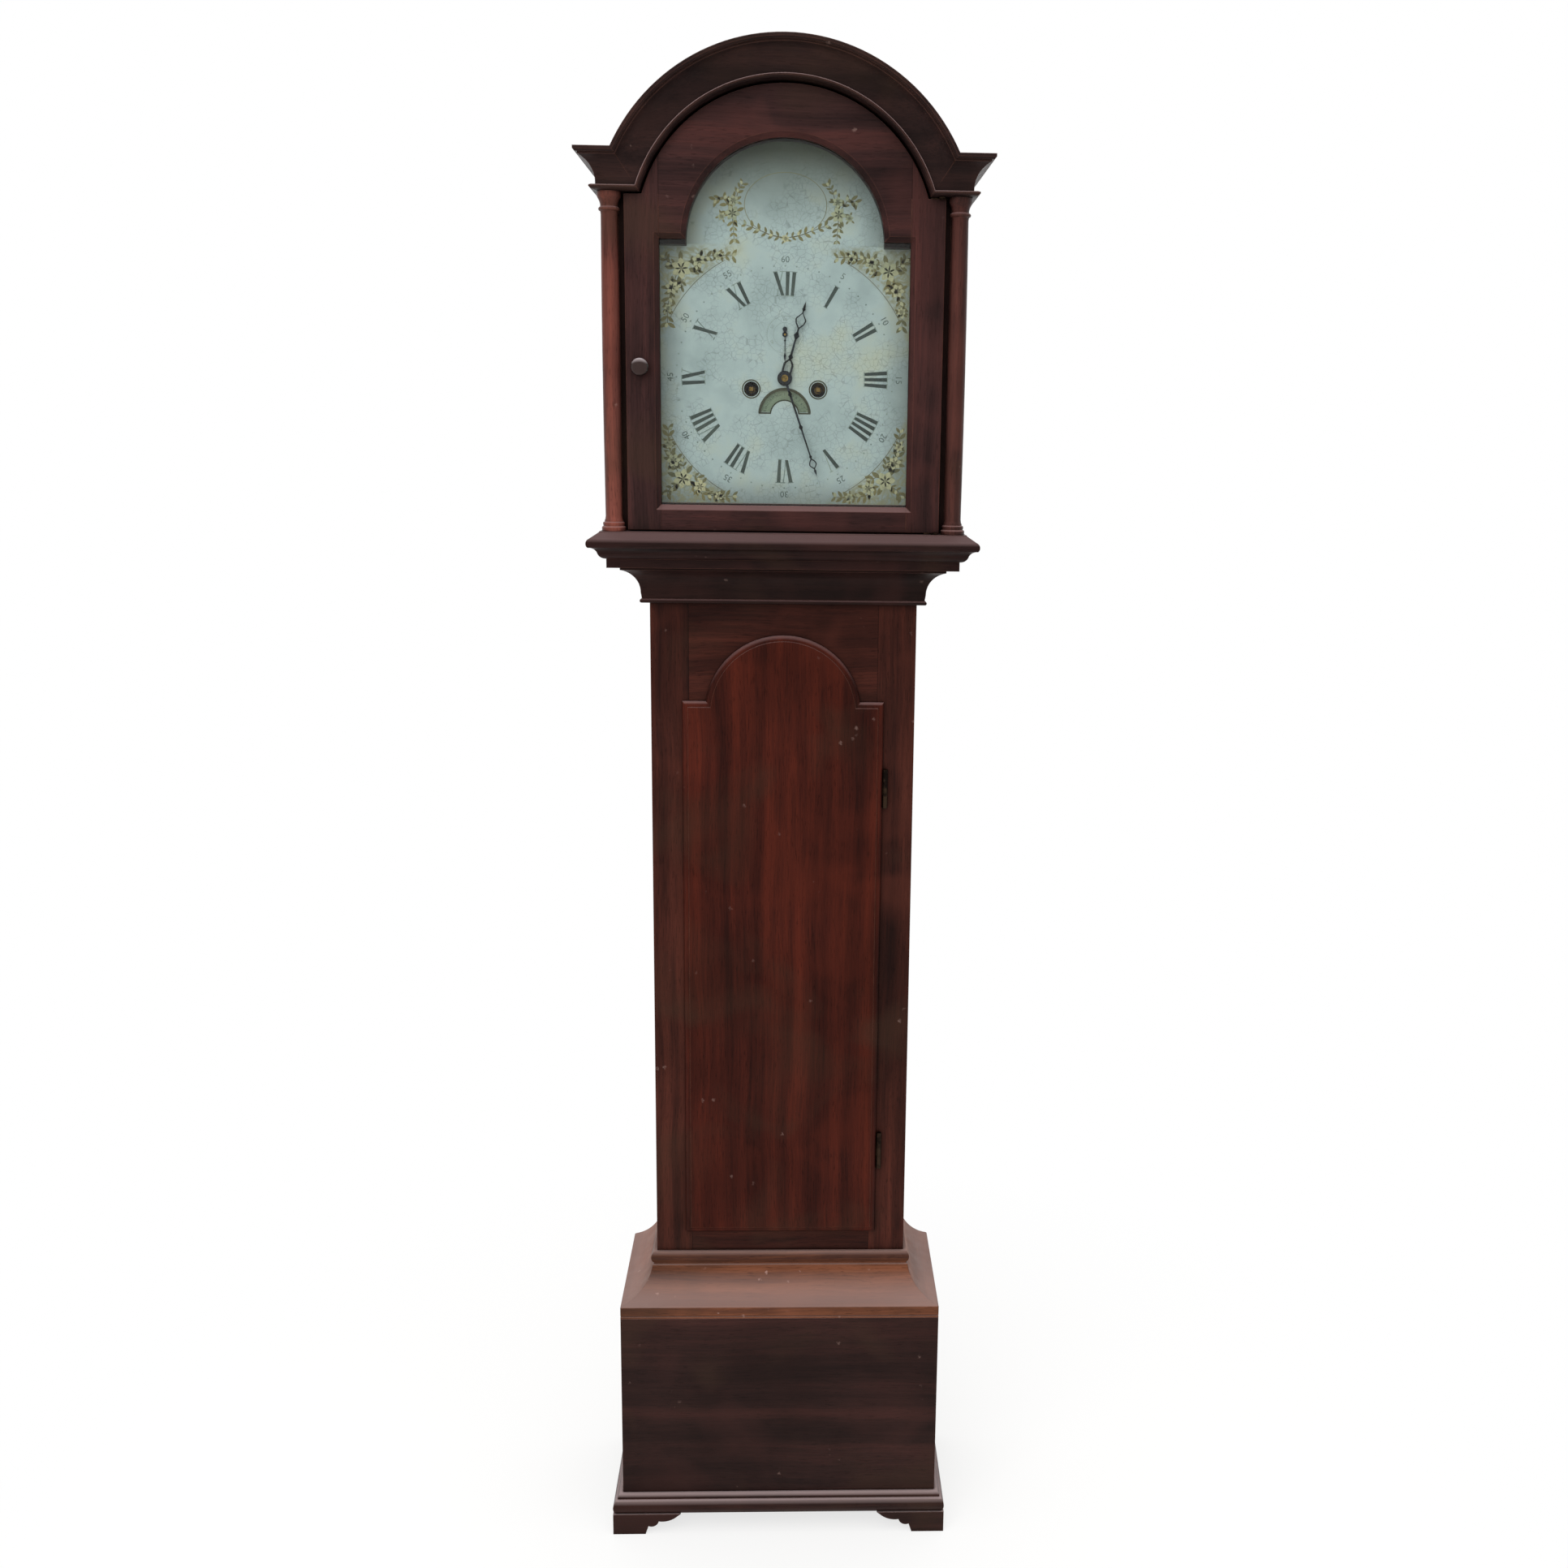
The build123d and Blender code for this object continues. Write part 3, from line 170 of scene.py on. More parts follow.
# Case: solid oak boards, planed, stained dark red-brown and waxed for two hundred years. The grain
# runs along each board, the pores show as short dark strokes, and the wax has worn pale on the
# edges. Whatever faces up is dusty and is painted paler greyish pink as a painted sheen, and the
# hollows are painted darker as painted shade.
def wood(
    name, dark, mid, red, grain="z", cross=None, seed=0,
    rough=0.44, sheen=0.2, dust_and_sheen="#8a6c6a", bead=None, nicks=0.2,
):
    """Waxed oak: tones, grain and joint, shine, dusty tops with painted sheen, painted shade and chips.

    cross is a joint in the piece: how its line leans, where it lies and the grain past it.
    bead is the height of an arch's middle and the reach of the bead round it.
    """
    material, tree = blank(name)
    place = put(tree, "ShaderNodeTexCoord").outputs["Object"]
    drift = put(tree, "ShaderNodeTexNoise", {"Vector": place, "Scale": 4.0, "Detail": 1.0}).outputs["Color"]
    drift = put(
        tree, "ShaderNodeVectorMath", {0: drift, 1: (0.5, 0.5, 0.5)}, operation="SUBTRACT"
    ).outputs[0]
    bent = put(
        tree, "ShaderNodeVectorMath", {0: drift, 1: (0.02, 0.02, 0.02), 2: place}, operation="MULTIPLY_ADD"
    ).outputs[0]
    axes = put(tree, "ShaderNodeSeparateXYZ", {0: bent}).outputs
    orders = {"x": (2, 1, 0), "y": (2, 0, 1), "z": (0, 1, 2)}
    along = put(
        tree, "ShaderNodeCombineXYZ", {i: axes[k] for i, k in enumerate(orders[grain])}
    ).outputs[0]
    joint = None
    if cross:
        lean, line, second = cross
        plain = put(tree, "ShaderNodeSeparateXYZ", {0: place}).outputs
        side = put(tree, "ShaderNodeMath", {0: plain[0]}, operation="ABSOLUTE").outputs[0]
        side = put(
            tree, "ShaderNodeMath", {0: plain[1], 1: float(lean), 2: side}, operation="MULTIPLY_ADD"
        ).outputs[0]
        past = put(tree, "ShaderNodeMath", {0: side, 1: line}, operation="GREATER_THAN").outputs[0]
        other = put(
            tree, "ShaderNodeCombineXYZ", {i: axes[k] for i, k in enumerate(orders[second])}
        ).outputs[0]
        along = put(
            tree, "ShaderNodeMix", {0: past, 4: along, 5: other}, data_type="VECTOR"
        ).outputs[1]
        off = put(tree, "ShaderNodeMath", {0: side, 1: line}, operation="SUBTRACT").outputs[0]
        off = put(tree, "ShaderNodeMath", {0: off}, operation="ABSOLUTE").outputs[0]
        joint = put(tree, "ShaderNodeMapRange", {0: off, 1: 0.0002, 2: 0.0008, 3: 0.45, 4: 1.0}).outputs[0]
    # Growth bands about 28 mm wide, drawn out thirty times along the board
    moved = (seed * 0.37, seed * 0.21, seed * 0.13)
    board = put(
        tree, "ShaderNodeMapping", {"Vector": along, "Location": moved, "Scale": (1, 1, 0.035)}
    ).outputs[0]
    bands = put(
        tree, "ShaderNodeTexNoise", {"Vector": board, "Scale": 36.0, "Detail": 3.0, "Roughness": 0.55}
    ).outputs["Fac"]
    # Fine lines of the grain, 2 mm apart, and pores, which are finer but drawn 1.2 mm wide to show
    lines = put(
        tree, "ShaderNodeTexNoise", {"Vector": board, "Scale": 480.0, "Detail": 2.0, "Roughness": 0.6}
    ).outputs["Fac"]
    short = put(tree, "ShaderNodeMapping", {"Vector": along, "Scale": (1, 1, 0.09)}).outputs[0]
    pores = put(tree, "ShaderNodeTexNoise", {"Vector": short, "Scale": 850.0, "Detail": 1.0}).outputs["Fac"]
    pores = put(tree, "ShaderNodeMapRange", {0: pores, 1: 0.60, 2: 0.70, 3: 1.0, 4: 0.62}).outputs[0]
    tone = put(
        tree, "ShaderNodeMath", {0: lines, 1: 0.30, 2: bands}, operation="MULTIPLY_ADD"
    ).outputs[0]
    shades = ((0.47, paint(dark)), (0.66, paint(mid)), (0.88, paint(red)))
    colour = put(tree, "ShaderNodeValToRGB", {0: tone}, stops=shades).outputs[0]
    # Stain and wax lie unevenly, in patches of 150 mm and more
    patches = put(
        tree, "ShaderNodeTexNoise", {"Vector": bent, "Scale": 5.5, "Detail": 2.0}
    ).outputs["Fac"]
    patches = put(tree, "ShaderNodeMapRange", {0: patches, 1: 0.32, 2: 0.70, 3: 0.70, 4: 1.30}).outputs[0]
    for share in (patches, pores):
        colour = put(
            tree, "ShaderNodeVectorMath", {0: colour, "Scale": share}, operation="SCALE"
        ).outputs[0]
    # Here and there the stain has faded to brown, or shows redder than beside it
    cast = put(
        tree, "ShaderNodeTexNoise", {"Vector": bent, "Scale": 8.0, "Detail": 2.0, "Distortion": 0.6}
    ).outputs["Fac"]
    brown_cast = put(tree, "ShaderNodeMapRange", {0: cast, 1: 0.52, 2: 0.72, 3: 0.0, 4: 0.42}).outputs[0]
    red_cast = put(tree, "ShaderNodeMapRange", {0: cast, 1: 0.46, 2: 0.30, 3: 0.0, 4: 0.45}).outputs[0]
    for share, tint in ((brown_cast, "#33241b"), (red_cast, red)):
        layer = {0: share, 6: colour, 7: paint(tint)}
        colour = put(tree, "ShaderNodeMix", layer, data_type="RGBA").outputs[2]
    if joint:
        colour = put(
            tree, "ShaderNodeVectorMath", {0: colour, "Scale": joint}, operation="SCALE"
        ).outputs[0]
    # Worn edges: where the rounded normal leaves the true one
    soft = put(tree, "ShaderNodeBevel", {"Radius": 0.0014}, samples=4).outputs[0]
    true = put(tree, "ShaderNodeNewGeometry").outputs["Normal"]
    agree = put(tree, "ShaderNodeVectorMath", {0: soft, 1: true}, operation="DOT_PRODUCT").outputs["Value"]
    spots = put(tree, "ShaderNodeTexNoise", {"Vector": place, "Scale": 60.0, "Detail": 3.0}).outputs["Fac"]
    edge = put(tree, "ShaderNodeMapRange", {0: agree, 1: 0.985, 2: 0.86, 3: 0.0, 4: 0.55}).outputs[0]
    edge = put(tree, "ShaderNodeMath", {0: edge, 1: spots}, operation="MULTIPLY").outputs[0]
    # Faces that look up are painted paler: they are dusty, and the pale colour is also a painted sheen of
    # the bright sky
    up = put(tree, "ShaderNodeSeparateXYZ", {0: soft}).outputs[2]
    up = put(tree, "ShaderNodeMapRange", {0: up, 1: 0.25, 2: 0.95, 3: 0.0, 4: 0.62}).outputs[0]
    if bead:
        # The bead along the arch is painted pale on the side that faces away from the arch's middle,
        # as rubbed wear and as a painted highlight
        middle, reach = bead
        out = put(
            tree, "ShaderNodeVectorMath", {0: place, 1: (0, 0, middle)}, operation="SUBTRACT"
        ).outputs[0]
        out = put(tree, "ShaderNodeVectorMath", {0: out, 1: (1, 0, 1)}, operation="MULTIPLY").outputs[0]
        far = put(tree, "ShaderNodeVectorMath", {0: out}, operation="LENGTH").outputs["Value"]
        out = put(tree, "ShaderNodeVectorMath", {0: out}, operation="NORMALIZE").outputs[0]
        facing = put(
            tree, "ShaderNodeVectorMath", {0: out, 1: true}, operation="DOT_PRODUCT"
        ).outputs["Value"]
        facing = put(tree, "ShaderNodeMapRange", {0: facing, 1: 0.2, 2: 0.6, 3: 0.0, 4: 0.8}).outputs[0]
        near = put(tree, "ShaderNodeMath", {0: far, 1: reach}, operation="LESS_THAN").outputs[0]
        rubbed = put(tree, "ShaderNodeMath", {0: facing, 1: near}, operation="MULTIPLY").outputs[0]
        up = put(tree, "ShaderNodeMath", {0: up, 1: rubbed}, operation="MAXIMUM").outputs[0]
    # Small pale chips and nicks, 1 to 3 mm across, with ragged edges and only here and there
    ragged = (0.007, 0.007, 0.007)
    jagged = put(
        tree, "ShaderNodeTexNoise", {"Vector": place, "Scale": 260.0, "Detail": 2.0}
    ).outputs["Color"]
    jagged = put(
        tree, "ShaderNodeVectorMath", {0: jagged, 1: ragged, 2: place}, operation="MULTIPLY_ADD"
    ).outputs[0]
    chip = put(tree, "ShaderNodeTexVoronoi", {"Vector": jagged, "Scale": 52.0}).outputs["Distance"]
    chip = put(tree, "ShaderNodeMapRange", {0: chip, 1: 0.03, 2: 0.15, 3: nicks, 4: 0.0}).outputs[0]
    sparse = put(tree, "ShaderNodeTexNoise", {"Vector": place, "Scale": 19.0, "Detail": 1.0}).outputs["Fac"]
    sparse = put(
        tree, "ShaderNodeMapRange", {0: sparse, 1: 0.60 - 0.1 * nicks, 2: 0.66 - 0.1 * nicks}
    ).outputs[0]
    chip = put(tree, "ShaderNodeMath", {0: chip, 1: sparse}, operation="MULTIPLY").outputs[0]
    for share, tint in ((edge, "#8a5a4a"), (up, dust_and_sheen), (chip, "#a98b82")):
        layer = {0: share, 6: colour, 7: paint(tint)}
        colour = put(tree, "ShaderNodeMix", layer, data_type="RGBA").outputs[2]
    # Painted shade darkens the hollows and the lines where pieces meet, where old wax and dirt also lie
    hollow_shade_and_dirt = put(tree, "ShaderNodeAmbientOcclusion", {"Distance": 0.012}, samples=4).outputs["AO"]
    hollow_shade_and_dirt = put(tree, "ShaderNodeMapRange", {0: hollow_shade_and_dirt, 1: 0.30, 2: 0.85, 3: 0.22, 4: 1.0}).outputs[0]
    colour = put(tree, "ShaderNodeVectorMath", {0: colour, "Scale": hollow_shade_and_dirt}, operation="SCALE").outputs[0]
    gloss = put(
        tree, "ShaderNodeMapRange", {0: spots, 1: 0.3, 2: 0.7, 3: rough - 0.07, 4: rough + 0.09}
    ).outputs[0]
    relief = put(tree, "ShaderNodeMath", {0: pores, 1: 1.5, 2: lines}, operation="MULTIPLY_ADD").outputs[0]
    normal = put(
        tree, "ShaderNodeBump", {"Height": relief, "Normal": soft, "Strength": 0.35, "Distance": 0.0002}
    ).outputs[0]
    surface = put(
        tree,
        "ShaderNodeBsdfPrincipled",
        {
            "Base Color": colour,
            "Roughness": gloss,
            "Normal": normal,
            "Specular IOR Level": sheen,
            "Specular Tint": paint("#c9aaa4"),
        },
    ).outputs[0]
    put(tree, "ShaderNodeOutputMaterial", {"Surface": surface})
    return material


def finish(material, *names):
    """Give every slot of these CAD nodes one material."""
    for name in names:
        for spot in nodes[name].material_slots:
            spot.material = material


# Mitres lie where the front length meets the side ones, and the stiles' edges stand upright
case_mitre, hood_mitre = (1, 0.1246, "y"), (1, 0.1189, "y")
trunk_stile, mask_stile, door_stile = (0, 0.119, "z"), (0, 0.1485, "z"), (0, 0.1475, "z")
arch_bead = (1.695, 0.190)
framing, stained = ("#1b0d0b", "#301712", "#47231b"), ("#140b0a", "#221311", "#341b17")
for part, tones, grain, joint, seed, wear, names in (
    ("trunk frame", framing, "x", trunk_stile, 1, {"sheen": 0.14}, ["trunk_frame"]),
    ("trunk sides", stained, "z", None, 2, {}, ["trunk_sides"]),
    ("plinth", ("#180f0e", "#241614", "#341e1b"), "x", case_mitre, 3, {"rough": 0.5}, ["plinth_boards"]),
    (
        "base", ("#150d0c", "#221412", "#341e1a"), "x", case_mitre, 4,
        {"dust_and_sheen": "#b09c9b"}, ["base_moulding", "bracket_feet"],
    ),
    ("throat", ("#120b0a", "#1f1210", "#311b18"), "x", case_mitre, 5, {}, ["throat_moulding"]),
    (
        "waist", ("#3b241d", "#5e3826", "#7d4c36"), "x", case_mitre, 6,
        {"rough": 0.5, "dust_and_sheen": "#9a7f78", "nicks": 0.7}, ["waist_moulding"],
    ),
    ("hood base", ("#120b0a", "#201211", "#321b18"), "x", hood_mitre, 7, {"dust_and_sheen": "#6f5857"}, ["hood_base"]),
    (
        "cornice", ("#140e0e", "#211615", "#33211e"), "x", hood_mitre, 19,
        {"dust_and_sheen": "#927b79", "bead": arch_bead}, ["hood_cornice"],
    ),
    ("hood frieze", stained, "x", None, 8, {}, ["hood_frieze"]),
    ("hood sides", stained, "z", None, 9, {}, ["hood_sides"]),
    ("dial mask", ("#140b0a", "#1d110f", "#2a1613"), "x", mask_stile, 10, {}, ["hood_mask"]),
    (
        "hood door", ("#1d1212", "#301d1c", "#462724"), "x", door_stile, 11,
        {"rough": 0.4}, ["hood_door_frame"],
    ),
):
    finish(wood(f"waxed oak, {part}", *tones, grain, joint, seed, **wear), *names)


# Boards that nobody sees: the backboard, the roof, the seatboard and the blocks inside the plinth.
# They are sawn pine and oak, never stained, gone brown with age and dusty.
raw = ("#3f2d1e", "#5c4430", "#775a40")
for name, grain, seed, dust_and_sheen, board in (
    ("aged pine, backboard", "z", 12, "#8a8176", "backboard"),
    ("aged oak, hood roof", "y", 13, "#7d746b", "hood_roof"),
    ("aged oak, seatboard", "x", 14, "#8a8176", "seatboard"),
    ("aged oak, inner blocks", "x", 15, "#8a8176", "plinth_inside"),
):
    finish(wood(name, *raw, grain, seed=seed, rough=0.75, sheen=0.1, dust_and_sheen=dust_and_sheen), board)


# Trunk door: one oak board, redder than the rest, arched at the top, with an ovolo run round a lip
# that laps over the opening. Its grain is vertical, in stripes from the quarter-sawn board.
def arched(half, bottom, shoulder, radius, middle, steps):
    """Outline of a board with square shoulders and an arched head, anticlockwise from the front."""
    start = math.asin((shoulder - middle) / radius)
    arc = [start + (math.pi - 2 * start) * i / steps for i in range(steps + 1)]
    head = [(radius * math.cos(a), middle + radius * math.sin(a)) for a in arc]
    return [(-half, bottom), (half, bottom), (half, shoulder)] + head + [(-half, shoulder)]


def inset(outline, depth):
    """The outline moved inwards by depth, corner by corner."""
    moved = []
    for i, (x, z) in enumerate(outline):
        before, after = outline[i - 1], outline[(i + 1) % len(outline)]
        first = Vector((before[1] - z, x - before[0])).normalized()
        second = Vector((z - after[1], after[0] - x)).normalized()
        shift = (first + second) * (depth / (1 + first.dot(second)))
        moved.append((x + shift.x, z + shift.y))
    return moved


def made(name, corners, faces, material, body, angle=30, turned=True):
    """A closed mesh piece that rides on a body; edges sharper than the angle stay sharp."""
    mesh = bpy.data.meshes.new(name)
    mesh.from_pydata(corners, [], faces)
    if turned:
        shape = bmesh.new()
        shape.from_mesh(mesh)
        bmesh.ops.remove_doubles(shape, verts=shape.verts[:], dist=1e-6)
        bmesh.ops.recalc_face_normals(shape, faces=shape.faces[:])
        shape.to_mesh(mesh)
        shape.free()
    mesh.polygons.foreach_set("use_smooth", [True] * len(mesh.polygons))
    mesh.set_sharp_from_angle(angle=math.radians(angle))
    mesh.materials.append(material)
    piece = bpy.data.objects.new(name, mesh)
    bpy.context.scene.collection.objects.link(piece)
    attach(piece, body)
    return piece


def moulded(name, outline, section, material, body, angle=28):
    """A board whose edge follows a section of (inset, depth) steps, from its back to its front."""
    rings = [[(x, y, z) for x, z in inset(outline, d)] for d, y in section]
    count = len(outline)
    corners = [point for ring in rings for point in ring]
    faces = [tuple(reversed(range(count)))]
    for k in range(len(rings) - 1):
        for i in range(count):
            j = (i + 1) % count
            faces.append((k * count + i, k * count + j, (k + 1) * count + j, (k + 1) * count + i))
    faces.append(tuple(range((len(rings) - 1) * count, len(rings) * count)))
    return made(name, corners, faces, material, body, angle)


lip_half, lip_bottom, lip_shoulder = 0.1273, 0.4200, 1.1440
lip_arch, lip_middle = 0.0986, 1.1294
door_front, door_seat, door_rear = -0.0501, -0.0421, -0.0301
lip_over, ovolo_out, ovolo_deep, quirk = 0.0088, 0.0062, 0.0052, 0.0009
section = [(lip_over, door_rear), (lip_over, door_seat), (0.0, door_seat)]
section.append((0.0, door_front + ovolo_deep + quirk))
for i in range(1, 7):
    t = math.radians(15 * i)
    section.append((ovolo_out * (1 - math.cos(t)), door_front + quirk + ovolo_deep * (1 - math.sin(t))))
section += [(ovolo_out + quirk, door_front + quirk), (ovolo_out + quirk, door_front)]
door_tones = ("#200c09", "#34140e", "#4a1d13")
door_wood = wood("waxed oak, trunk door", *door_tones, "z", seed=16, rough=0.4, sheen=0.12)
outline = arched(lip_half, lip_bottom, lip_shoulder, lip_arch, lip_middle, 40)
door = moulded("trunk-door-board", outline, section, door_wood, "trunk_door")
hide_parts("trunk_door")


# Columns: slender oak shafts turned in one piece with their rings, standing free at the hood's
# front corners. The turner's tool leaves crisp fillets, and the shafts swell slightly at the middle.
def lathe(name, profile, centre, axis, steps, material, body, angle=32):
    """A solid spun from (radius, height) pairs round an axis through centre."""
    turn = Vector((0, 0, 1)).rotation_difference(Vector(axis)).to_matrix()
    corners, faces, rings = [], [], []
    for radius, height in profile:
        if radius == 0:
            rings.append([len(corners)])
            corners.append(tuple(turn @ Vector((0, 0, height)) + Vector(centre)))
        else:
            rings.append(list(range(len(corners), len(corners) + steps)))
            for i in range(steps):
                a = 2 * math.pi * i / steps
                point = Vector((radius * math.cos(a), radius * math.sin(a), height))
                corners.append(tuple(turn @ point + Vector(centre)))
    for low, high in zip(rings, rings[1:]):
        for i in range(steps):
            j = (i + 1) % steps
            if len(low) == 1:
                faces.append((low[0], high[j], high[i]))
            elif len(high) == 1:
                faces.append((low[i], low[j], high[0]))
            else:
                faces.append((low[i], low[j], high[j], high[i]))
    return made(name, corners, faces, material, body, angle)


column_x, column_y, column_foot = 0.2047, -0.0871, 1.3580
shaft, swelling, shaft_foot, shaft_long = 0.0098, 0.0008, 0.018, 0.346
column_profile = [(0, 0), (0.0143, 0), (0.0145, 0.0012), (0.0145, 0.0046), (0.0136, 0.0054)]
column_profile += [(0.0126, 0.0062), (0.0130, 0.0076), (0.0132, 0.0090), (0.0128, 0.0104)]
column_profile += [(0.0112, 0.0112), (0.0112, 0.0126), (0.0103, 0.0146)]
for i in range(13):
    t = i / 12
    column_profile.append((shaft + swelling * math.sin(math.pi * t), shaft_foot + shaft_long * t))
column_profile += [(0.0102, 0.3672), (0.0121, 0.3686), (0.0126, 0.3700), (0.0121, 0.3714)]
column_profile += [(0.0103, 0.3728), (0.0103, 0.3752), (0.0112, 0.3786), (0.0128, 0.3816)]
column_profile += [(0.0138, 0.3838), (0.0140, 0.3850), (0.0140, 0.3893), (0, 0.3893)]
column_wood = wood("waxed oak, turned columns", "#1e1211", "#35201d", "#4f2c26", "z", seed=17, rough=0.38)
# The left column gets a lighter, redder copy of the column oak: a painted highlight from the light on the
# left
highlit_column_wood = wood("waxed oak, column with painted highlight", "#331a16", "#56302a", "#743f34", "z", seed=20, rough=0.38)
for side in (-1, 1):
    name = "column-left" if side < 0 else "column-right"
    place = (side * column_x, column_y, column_foot)
    oak = highlit_column_wood if side < 0 else column_wood
    column = lathe(name, column_profile, place, (0, 0, 1), 48, oak, "hood")
    if side < 0:
        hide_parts("hood_columns", "column_turnings")


# Hood door knob: small, turned in pear wood, ebonised and polished, so that it takes a whitish
# highlight, which is also painted onto its upward faces. It is glued into the left stile of the door.
knob_profile = [(0, 0), (0.0055, 0), (0.0058, 0.0007), (0.0055, 0.0014), (0.0044, 0.0022), (0.0041, 0.0036)]
knob_profile += [(0.0044, 0.0052), (0.0060, 0.0066), (0.0082, 0.0082), (0.0098, 0.0102), (0.0104, 0.0122)]
knob_profile += [(0.0103, 0.0142), (0.0093, 0.0160), (0.0074, 0.0173), (0.0048, 0.0181), (0.0022, 0.0184)]
knob_profile.append((0, 0.0185))
knob_at = (-0.1704, -0.0901, 1.550)
ebony = ("#0d0908", "#16100f", "#241816")
# Its pale upward colour is a painted highlight
ebonised = wood("ebonised pear wood", *ebony, "z", seed=18, rough=0.18, sheen=0.8, dust_and_sheen="#d3c6c8")
knob = lathe("hood-door-knob", knob_profile, knob_at, (0, -1, 0), 40, ebonised, "hood_door")
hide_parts("hood_door_knob")


# Glass: an old hand-blown pane, puttied into a rebate of the hood door. It is slightly wavy, a
# trace green, and shows a faint reflection of the bright room.
pane, tree = blank("crown glass")
place = put(tree, "ShaderNodeTexCoord").outputs["Object"]
ripple = put(tree, "ShaderNodeTexNoise", {"Vector": place, "Scale": 14.0, "Detail": 1.0}).outputs["Fac"]
wave = put(tree, "ShaderNodeBump", {"Height": ripple, "Strength": 0.25, "Distance": 0.002}).outputs[0]
clear = put(tree, "ShaderNodeBsdfTransparent", {"Color": paint("#f4f7f5")}).outputs[0]
shine = put(tree, "ShaderNodeBsdfGlossy", {"Roughness": 0.06, "Normal": wave}).outputs[0]
# The pane mirrors 2 % of the room face on, and more the flatter it is looked at
slant = put(tree, "ShaderNodeLayerWeight", {"Blend": 0.5}).outputs["Facing"]
slant = put(tree, "ShaderNodeMath", {0: slant, 1: 5.0}, operation="POWER").outputs[0]
edge = put(tree, "ShaderNodeMath", {0: slant, 1: 0.7, 2: 0.016}, operation="MULTIPLY_ADD").outputs[0]
both = put(tree, "ShaderNodeMixShader", {0: edge, 1: clear, 2: shine}).outputs[0]
put(tree, "ShaderNodeOutputMaterial", {"Surface": both})
finish(pane, "hood_door_glass")


# Dial: an iron sheet under many coats of oil paint, rubbed flat, pale blue-grey and yellowed in
# patches, with a network of fine age cracks. It is darker towards its edges, for grime and painted
# shade, and painted shade darkens the arch's top under the cornice.
dial_y = -0.0501
dial_centre = Vector((0.0, 1.541))
# The arch's middle over the dial's centre, and how much less its radius is than half the dial
arch_middle, arch_step = 0.154, 0.034


